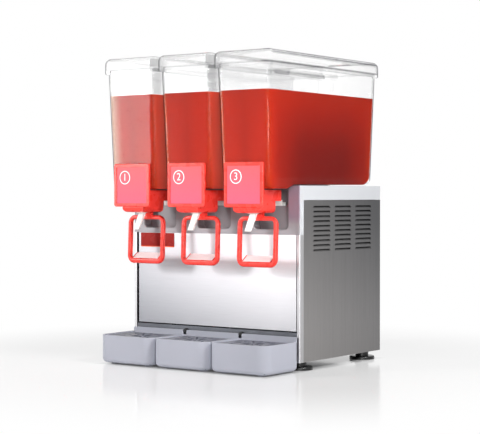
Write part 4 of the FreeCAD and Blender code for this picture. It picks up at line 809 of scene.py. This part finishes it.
# Taps
class DISPENSER_OT_taps(bpy.types.Operator):
    """Red taps, covers, levers, pads and spouts"""

    bl_idname = "dispenser.taps"
    bl_label = "Taps"

    def execute(self, context):
        red = tuple(context.scene.dispenser_colours.red)
        paint(gloss_red("tap_red", red), *each_bay("tap_body"))
        paint(gloss_red("cover_red", red), *each_bay("tap_cover"))
        paint(gloss_red("lever_red", tuple(c * 0.92 for c in red)), *each_bay("lever"))
        paint(moulded("spout_white", linear(250, 250, 247), 0.3, coat=0.2, shift=0.02), *each_bay("spout"))
        paint(moulded("pad_pale", linear(255, 236, 236), 0.35, shift=0.02), *each_bay("push_pad"))
        paint(moulded("valve_grey", linear(214, 214, 210), 0.35, shift=0.04), *each_bay("valve_piston"))
        return {"FINISHED"}


class DISPENSER_OT_labels(bpy.types.Operator):
    """Film in each tap cover with a plain ring and number on it"""

    bl_idname = "dispenser.labels"
    bl_label = "Labels"

    def execute(self, context):
        sizes = context.scene.dispenser_sizes
        colours = context.scene.dispenser_colours
        film = film_finish("label_film", tuple(colours.label), linear(216, 98, 124))
        ink = moulded("label_ink", linear(252, 246, 248), 0.4, spark=1200.0, depth=0.000004, shift=0.02)
        recess = 0.0016
        margin = COVER_RIM + 0.0003
        corner = 0.0012
        ink_depth = 0.00015
        from_left, from_top = 0.0290, 0.0287
        line = 0.0019
        digit_height = 0.0215
        for number, side in enumerate(BAYS, start=1):
            low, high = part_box("tap_cover_" + side)
            back = low.y + recess
            front = back - sizes.label_thickness
            edges = (low.x + margin, high.x - margin, front, back, low.z + margin, high.z - margin)
            mesh = mesh_from("label_" + side, lambda work: add_slab(work, *edges, corner))
            label = new_piece("label_" + side, mesh, film)
            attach(label, "bowl_" + side)
            centre = Vector((low.x + from_left, front, high.z - from_top))
            ring = ring_mesh("ring", sizes.label_ring, sizes.label_ring - line, ink_depth)
            digit = number_mesh(str(number), digit_height, ink_depth)
            digit_place = centre - Vector((0, ink_depth / 2, 0))
            marks = [(ring, Matrix.Translation(centre)), (digit, Matrix.Translation(digit_place))]
            mark = gather("label_mark_" + side, marks, ink)
            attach(mark, "bowl_" + side)
        return {"FINISHED"}


# Trays
class DISPENSER_OT_trays(bpy.types.Operator):
    """Drip trays, their grids and the pegs between them"""

    bl_idname = "dispenser.trays"
    bl_label = "Trays"

    def execute(self, context):
        colours = context.scene.dispenser_colours
        paint(tray_finish(tuple(colours.tray)), *each_bay("drip_tray"))
        paint(moulded("grid_plastic", tuple(colours.grid), 0.34, 700.0, 0.00003), *each_bay("drip_grid"))
        paint(moulded("peg_black", linear(24, 24, 26), 0.3), "tray_pegs")
        return {"FINISHED"}


# Cabinet
class DISPENSER_OT_cabinet(bpy.types.Operator):
    """Deck, posts, panels, base pan, feet and clips"""

    bl_idname = "dispenser.cabinet"
    bl_label = "Cabinet"

    def execute(self, context):
        paint(deck_finish(), "top_deck")
        paint(brushed("post_steel", linear(200, 199, 201), 0.4, "Z", 0.03), "front_posts")
        paint(panel_finish(), "front_panel")
        paint(plate_finish(tuple(context.scene.dispenser_colours.plate)), "name_plate")
        paint(side_finish(), "side_panel_left", "side_panel_right")
        paint(brushed("rear_steel", linear(176, 177, 180), 0.38, "X"), "rear_panel")
        paint(cast_metal("pan_zinc", linear(104, 106, 112), 0.42), "base_pan")
        paint(rubber("foot_rubber", linear(20, 20, 22), 0.28), "rubber_feet")
        paint(moulded("clip_white", linear(244, 244, 242), 0.3, shift=0.02), "bowl_catches")
        return {"FINISHED"}


class DISPENSER_OT_fasteners(bpy.types.Operator):
    """Cross-head screws that hold the rear panel"""

    bl_idname = "dispenser.fasteners"
    bl_label = "Screws"

    def execute(self, context):
        radius = context.scene.dispenser_sizes.screw_radius
        low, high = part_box("rear_panel")
        inset = 0.0085
        # Breadth and rise of the domed head, as shares of its radius
        profile = ((1.0, 0.0), (1.0, 0.12), (0.93, 0.3), (0.78, 0.46), (0.5, 0.58), (0.2, 0.62))
        rings = [(circle(radius * share, 24), REAR_FACE + radius * rise) for share, rise in profile]
        bar, reach = radius * 0.16, radius * 0.62
        slot_ends = (REAR_FACE + radius * 0.3, REAR_FACE + radius * 0.64)
        places = []
        for x in (low.x + inset, 0.0, high.x - inset):
            places.append((x, high.z - inset))
            places.append((x, low.z + inset))
        for x in (low.x + inset, high.x - inset):
            places.append((x, (low.z + high.z) / 2))

        def build(work):
            for x, z in places:
                add_rings(work, [[(x + a, y, z + b) for a, b in ring] for ring, y in rings])

        steel = cast_metal("screw_steel", linear(196, 197, 200), 0.28, grain=900.0, depth=0.00001)
        heads = new_piece("panel_screws", mesh_from("panel_screws", build, smooth_angle=35), steel)
        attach(heads, "cabinet")

        # Painted shade: the cross slots are dark bars set into the heads in place of recesses.
        def build_slots(work):
            for x, z in places:
                for across, up in ((reach, bar), (bar, reach)):
                    corners = [(x + a * across, z + b * up) for a, b in ((-1, -1), (1, -1), (1, 1), (-1, 1))]
                    add_rings(work, [[(a, y, b) for a, b in corners] for y in slot_ends])

        dark = cast_metal("screw_slot", linear(46, 46, 48), 0.6, grain=900.0, depth=0.00001)
        slots = new_piece("panel_screw_slots", mesh_from("panel_screw_slots", build_slots), dark)
        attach(slots, "cabinet")
        return {"FINISHED"}


# Controls
class DISPENSER_OT_controls(bpy.types.Operator):
    """Switch, thermostat with its printed scale, and power inlet"""

    bl_idname = "dispenser.controls"
    bl_label = "Controls"

    def execute(self, context):
        black = linear(22, 22, 24)
        paint(moulded("switch_black", black, 0.32), "switch_housing")
        paint(moulded("switch_green", linear(30, 138, 66), 0.22, coat=0.3), "main_switch")
        paint(moulded("thermostat_body", linear(218, 214, 204), 0.45), "thermostat_body")
        paint(moulded("knob_black", linear(28, 28, 30), 0.3, spark=1200.0), "thermostat_knob")
        paint(moulded("inlet_black", black, 0.36), "power_inlet")
        self.print_dial(context)
        self.print_switch()
        return {"FINISHED"}

    def print_dial(self, context):
        count = context.scene.dispenser_sizes.dial_numbers
        low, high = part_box("thermostat_knob")
        middle = Vector(((low.x + high.x) / 2, REAR_FACE, (low.z + high.z) / 2))
        knob = (high.x - low.x) / 2
        ink = moulded("dial_ink", linear(30, 30, 32), 0.5, depth=0.000004)
        depth = 0.00012
        digit_height, digit_gap = 0.0062, 0.0085
        # Limits of a tick in x, y and z, its corners' radius and their steps
        tick = (-0.0003, 0.0003, 0, depth, knob + 0.0015, knob + 0.0042, 0.0001, 2)
        sweep = math.radians(270.0)
        turned = Matrix.Rotation(math.pi, 4, "Z")
        meshes = []
        for k in range(count + 1):
            angle = sweep * k / count
            way = Vector((-math.sin(angle), 0, math.cos(angle)))
            digit = number_mesh(str(k), digit_height, depth)
            spot = middle + way * (knob + digit_gap) + Vector((0, depth / 2, 0))
            meshes.append((digit, Matrix.Translation(spot) @ turned))
            mesh = mesh_from("tick", lambda work: add_slab(work, *tick))
            meshes.append((mesh, Matrix.Translation(middle) @ Matrix.Rotation(-angle, 4, "Y")))
        scale = gather("dial_scale", meshes, ink)
        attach(scale, "cabinet")

    def print_switch(self):
        """Bar and ring on the rocker's two halves."""
        low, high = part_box("main_switch")
        x = (low.x + high.x) / 2
        z = (low.z + high.z) / 2
        ink = moulded("switch_ink", linear(246, 246, 244), 0.4, depth=0.000004)
        half, line, depth, corner, from_middle = 0.002, 0.0006, 0.0003, 0.0003, 0.0062
        limits = (-0.0005, 0.0005, 0, depth, -half, half)
        bar = mesh_from("bar", lambda work: add_slab(work, *limits, corner, 3))
        ring = ring_mesh("ring", half, half - line, depth)
        # The two faces of the rocker lean by different amounts in its rest position
        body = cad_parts["main_switch"].data
        marks = [(bar, self.seat_on(body, x, z + from_middle)),
                 (ring, self.seat_on(body, x, z - from_middle))]
        mark = gather("switch_marks", marks, ink)
        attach(mark, "main_switch")

    def seat_on(self, mesh, x, z):
        """Matrix that lays a mark flat on the face of mesh found from behind at x, z."""
        start, lift = REAR_FACE + 0.05, 0.00005
        tree = BVHTree.FromPolygons([v.co for v in mesh.vertices], [p.vertices for p in mesh.polygons])
        spot, normal, _, _ = tree.ray_cast(Vector((x, start, z)), Vector((0, -1, 0)))
        if spot is None:
            raise RuntimeError("The rocker has no face for its mark")
        lean = Vector((0, 1, 0)).rotation_difference(normal)
        return Matrix.Translation(spot + normal * lift) @ lean.to_matrix().to_4x4()


# Cold parts
class DISPENSER_OT_stirring(bpy.types.Operator):
    """Cooling plates, gaskets, stirrers, magnet rotors and their motors"""

    bl_idname = "dispenser.stirring"
    bl_label = "Cooling and Stirring"

    def execute(self, context):
        paint(brushed("cold_steel", linear(204, 206, 210), 0.24, "X"), "cooling_plates")
        paint(rubber("gasket_rubber", linear(60, 62, 66), 0.45), "bowl_gaskets")
        paint(moulded("stirrer_white", linear(236, 238, 240), 0.3), *each_bay("impeller"))
        paint(cast_metal("magnet_steel", linear(92, 92, 98), 0.4), *each_bay("magnet_rotor"))
        paint(cast_metal("motor_zinc", linear(168, 170, 174), 0.4), "stirrer_motors")
        return {"FINISHED"}


class DISPENSER_OT_refrigeration(bpy.types.Operator):
    """Compressor, condenser, shroud, fan and fan motor"""

    bl_idname = "dispenser.refrigeration"
    bl_label = "Refrigeration"

    def execute(self, context):
        paint(cast_metal("compressor_paint", linear(26, 27, 30), 0.3, 0.0, 420.0), "compressor")
        paint(cast_metal("fin_aluminium", linear(188, 190, 194), 0.36), "condenser")
        paint(cast_metal("shroud_zinc", linear(146, 148, 152), 0.44), "fan_shroud")
        paint(moulded("fan_black", linear(34, 35, 38), 0.4), "fan")
        paint(cast_metal("fan_motor_metal", linear(112, 114, 118), 0.42), "fan_motor")
        return {"FINISHED"}


# Stage
def lamp(name, place, aim, size, power, spread=180.0):
    """Rectangular soft light, narrowed to a spread in degrees."""
    data = bpy.data.lights.new(name, "AREA")
    data.shape = "RECTANGLE"
    data.size, data.size_y = size
    data.energy = power
    data.spread = math.radians(spread)
    holder = bpy.data.objects.new(name, data)
    bpy.context.scene.collection.objects.link(holder)
    holder.location = place
    holder.rotation_euler = (Vector(aim) - Vector(place)).to_track_quat("-Z", "Y").to_euler()


def floor_material():
    """Pale glossy counter that keeps the shadow, with a painted shadow darkest below the cabinet, and melts
    into the white.
    """
    finish = Finish("counter", (0.92, 0.92, 0.92), 0.13)
    finish.vary_roughness(finish.noise(3.0), 0.11, 0.16)
    x, y, _ = finish.axes()
    away = finish.maths("SQRT", finish.plus(finish.times(x, x), finish.times(y, y)))
    far = finish.span(away, 0.45, 1.0, 0.45, 1.0, smooth=True)
    half_x, half_y, _ = CAD_BOX[1]
    # Painted shadow: less of the white glow below the cabinet's footprint.
    clear = finish.most(finish.span(finish.absolute(x), half_x - 0.01, half_x + 0.01),
                        finish.span(finish.absolute(y), half_y - 0.01, half_y + 0.015))
    share = finish.times(far, finish.span(clear, 0.0, 1.0, 0.1, 1.0), in_view(finish.tree))
    white = finish.add("Emission", {"Color": WHITE, "Strength": 1.0})
    mix_shaders(finish.tree, share, finish.shader, white, finish.output)
    return finish.material


def set_world(fill, shade):
    """White to the eye, softly shaded in a gloss that looks to the rear right, and fill as light."""
    world = bpy.data.worlds.new("studio")
    bpy.context.scene.world = world
    world.use_nodes = True
    tree = world.node_tree
    tree.nodes.clear()
    output = tree.nodes.new("ShaderNodeOutputWorld")
    way = tree.nodes.new("ShaderNodeTexCoord").outputs["Generated"]
    rear_right = add_node(tree, "VectorMath", {0: way, 1: (0.54, 0.84, 0.0)}, operation="DOT_PRODUCT")
    zone = add_node(
        tree, "MapRange", interpolation_type="SMOOTHSTEP",
        inputs={"Value": rear_right.outputs["Value"], "From Min": 0.55, "From Max": 0.95, "To Max": shade})
    path = tree.nodes.new("ShaderNodeLightPath")
    mirrored = maths(tree, "SUBTRACT", path.outputs["Is Glossy Ray"], path.outputs["Is Transmission Ray"])
    dimmed = maths(tree, "MULTIPLY", maths(tree, "MAXIMUM", mirrored, 0.0), zone.outputs["Result"])
    seen = add_node(tree, "Background", {"Color": WHITE, "Strength": maths(tree, "SUBTRACT", 1.0, dimmed)})
    light = add_node(tree, "Background", {"Color": WHITE, "Strength": fill})
    mix_shaders(tree, in_view(tree), light, seen, output)


class DISPENSER_OT_stage(bpy.types.Operator):
    """Floor, background, lamps and camera"""

    bl_idname = "dispenser.stage"
    bl_label = "Stage"

    def execute(self, context):
        scene = context.scene
        studio = scene.dispenser_studio
        scene.view_settings.view_transform = "Standard"

        def build(work):
            reach, steps = 40.0, 8
            ticks = [-reach + 2 * reach * k / steps for k in range(steps + 1)]
            rows = [[work.verts.new((x, y, 0)) for y in ticks] for x in ticks]
            for near, far in zip(rows, rows[1:]):
                for k in range(steps):
                    work.faces.new((near[k], far[k], far[k + 1], near[k + 1]))

        floor = new_piece("counter_top", mesh_from("counter_top", build), floor_material())
        set_world(studio.fill, studio.shade)
        lamp("key_right", (2.2, -0.3, 1.75), aim=(0.0, 0.0, 0.3), size=(0.6, 0.6), power=46.0)
        lamp("low_right", (2.0, -2.2, 0.45), aim=(0.0, 0.0, 0.35), size=(1.0, 0.6), power=15.0)
        lamp("near_right", (0.8, -0.95, 0.5), aim=(0.02, -0.15, 0.37), size=(0.3, 0.2), power=0.45,
             spread=40.0)
        lamp("front_left", (-1.75, -2.1, 1.05), aim=(0.0, -0.1, 0.25), size=(0.35, 0.35), power=24.5)
        lamp("near_left", (-0.93, -1.0, 0.47), aim=(-0.143, -0.2, 0.45), size=(0.36, 0.27), power=2.9)

        data = bpy.data.cameras.new("camera")
        data.lens = studio.lens
        data.sensor_width = 36.0
        data.clip_end = 200.0
        camera = bpy.data.objects.new("camera", data)
        scene.collection.objects.link(camera)
        camera.location = studio.camera_place
        camera.rotation_euler = Euler(
            (math.pi / 2 - studio.camera_elevation, 0.0, studio.camera_azimuth), "XYZ")
        scene.camera = camera
        return {"FINISHED"}


GROUPS = {
    "dispenser_colours": DispenserColours,
    "dispenser_sizes": DispenserSizes,
    "dispenser_studio": DispenserStudio,
}

OPERATORS = (
    DISPENSER_OT_stage,
    DISPENSER_OT_bowls,
    DISPENSER_OT_drink,
    DISPENSER_OT_taps,
    DISPENSER_OT_labels,
    DISPENSER_OT_trays,
    DISPENSER_OT_cabinet,
    DISPENSER_OT_fasteners,
    DISPENSER_OT_controls,
    DISPENSER_OT_stirring,
    DISPENSER_OT_refrigeration,
)


class DISPENSER_PT_panel(bpy.types.Panel):
    """Lists the steps that dress the dispenser"""

    bl_idname = "DISPENSER_PT_panel"
    bl_label = "Dispenser"
    bl_space_type = "VIEW_3D"
    bl_region_type = "UI"
    bl_category = "Dispenser"

    def draw(self, context):
        for group in GROUPS:
            values = getattr(context.scene, group)
            box = self.layout.box()
            for name in values.__annotations__:
                box.prop(values, name)
        for operator in OPERATORS:
            self.layout.operator(operator.bl_idname)


def register():
    for group in GROUPS.values():
        bpy.utils.register_class(group)
    for name, group in GROUPS.items():
        setattr(bpy.types.Scene, name, PointerProperty(type=group))
    for operator in OPERATORS:
        bpy.utils.register_class(operator)
    bpy.utils.register_class(DISPENSER_PT_panel)


def unregister():
    bpy.utils.unregister_class(DISPENSER_PT_panel)
    for operator in reversed(OPERATORS):
        bpy.utils.unregister_class(operator)
    for name in GROUPS:
        delattr(bpy.types.Scene, name)
    for group in reversed(list(GROUPS.values())):
        bpy.utils.unregister_class(group)


def main():
    register()
    for operator in OPERATORS:
        family, name = operator.bl_idname.split(".")
        getattr(getattr(bpy.ops, family), name)()


if __name__ == "__main__":
    main()
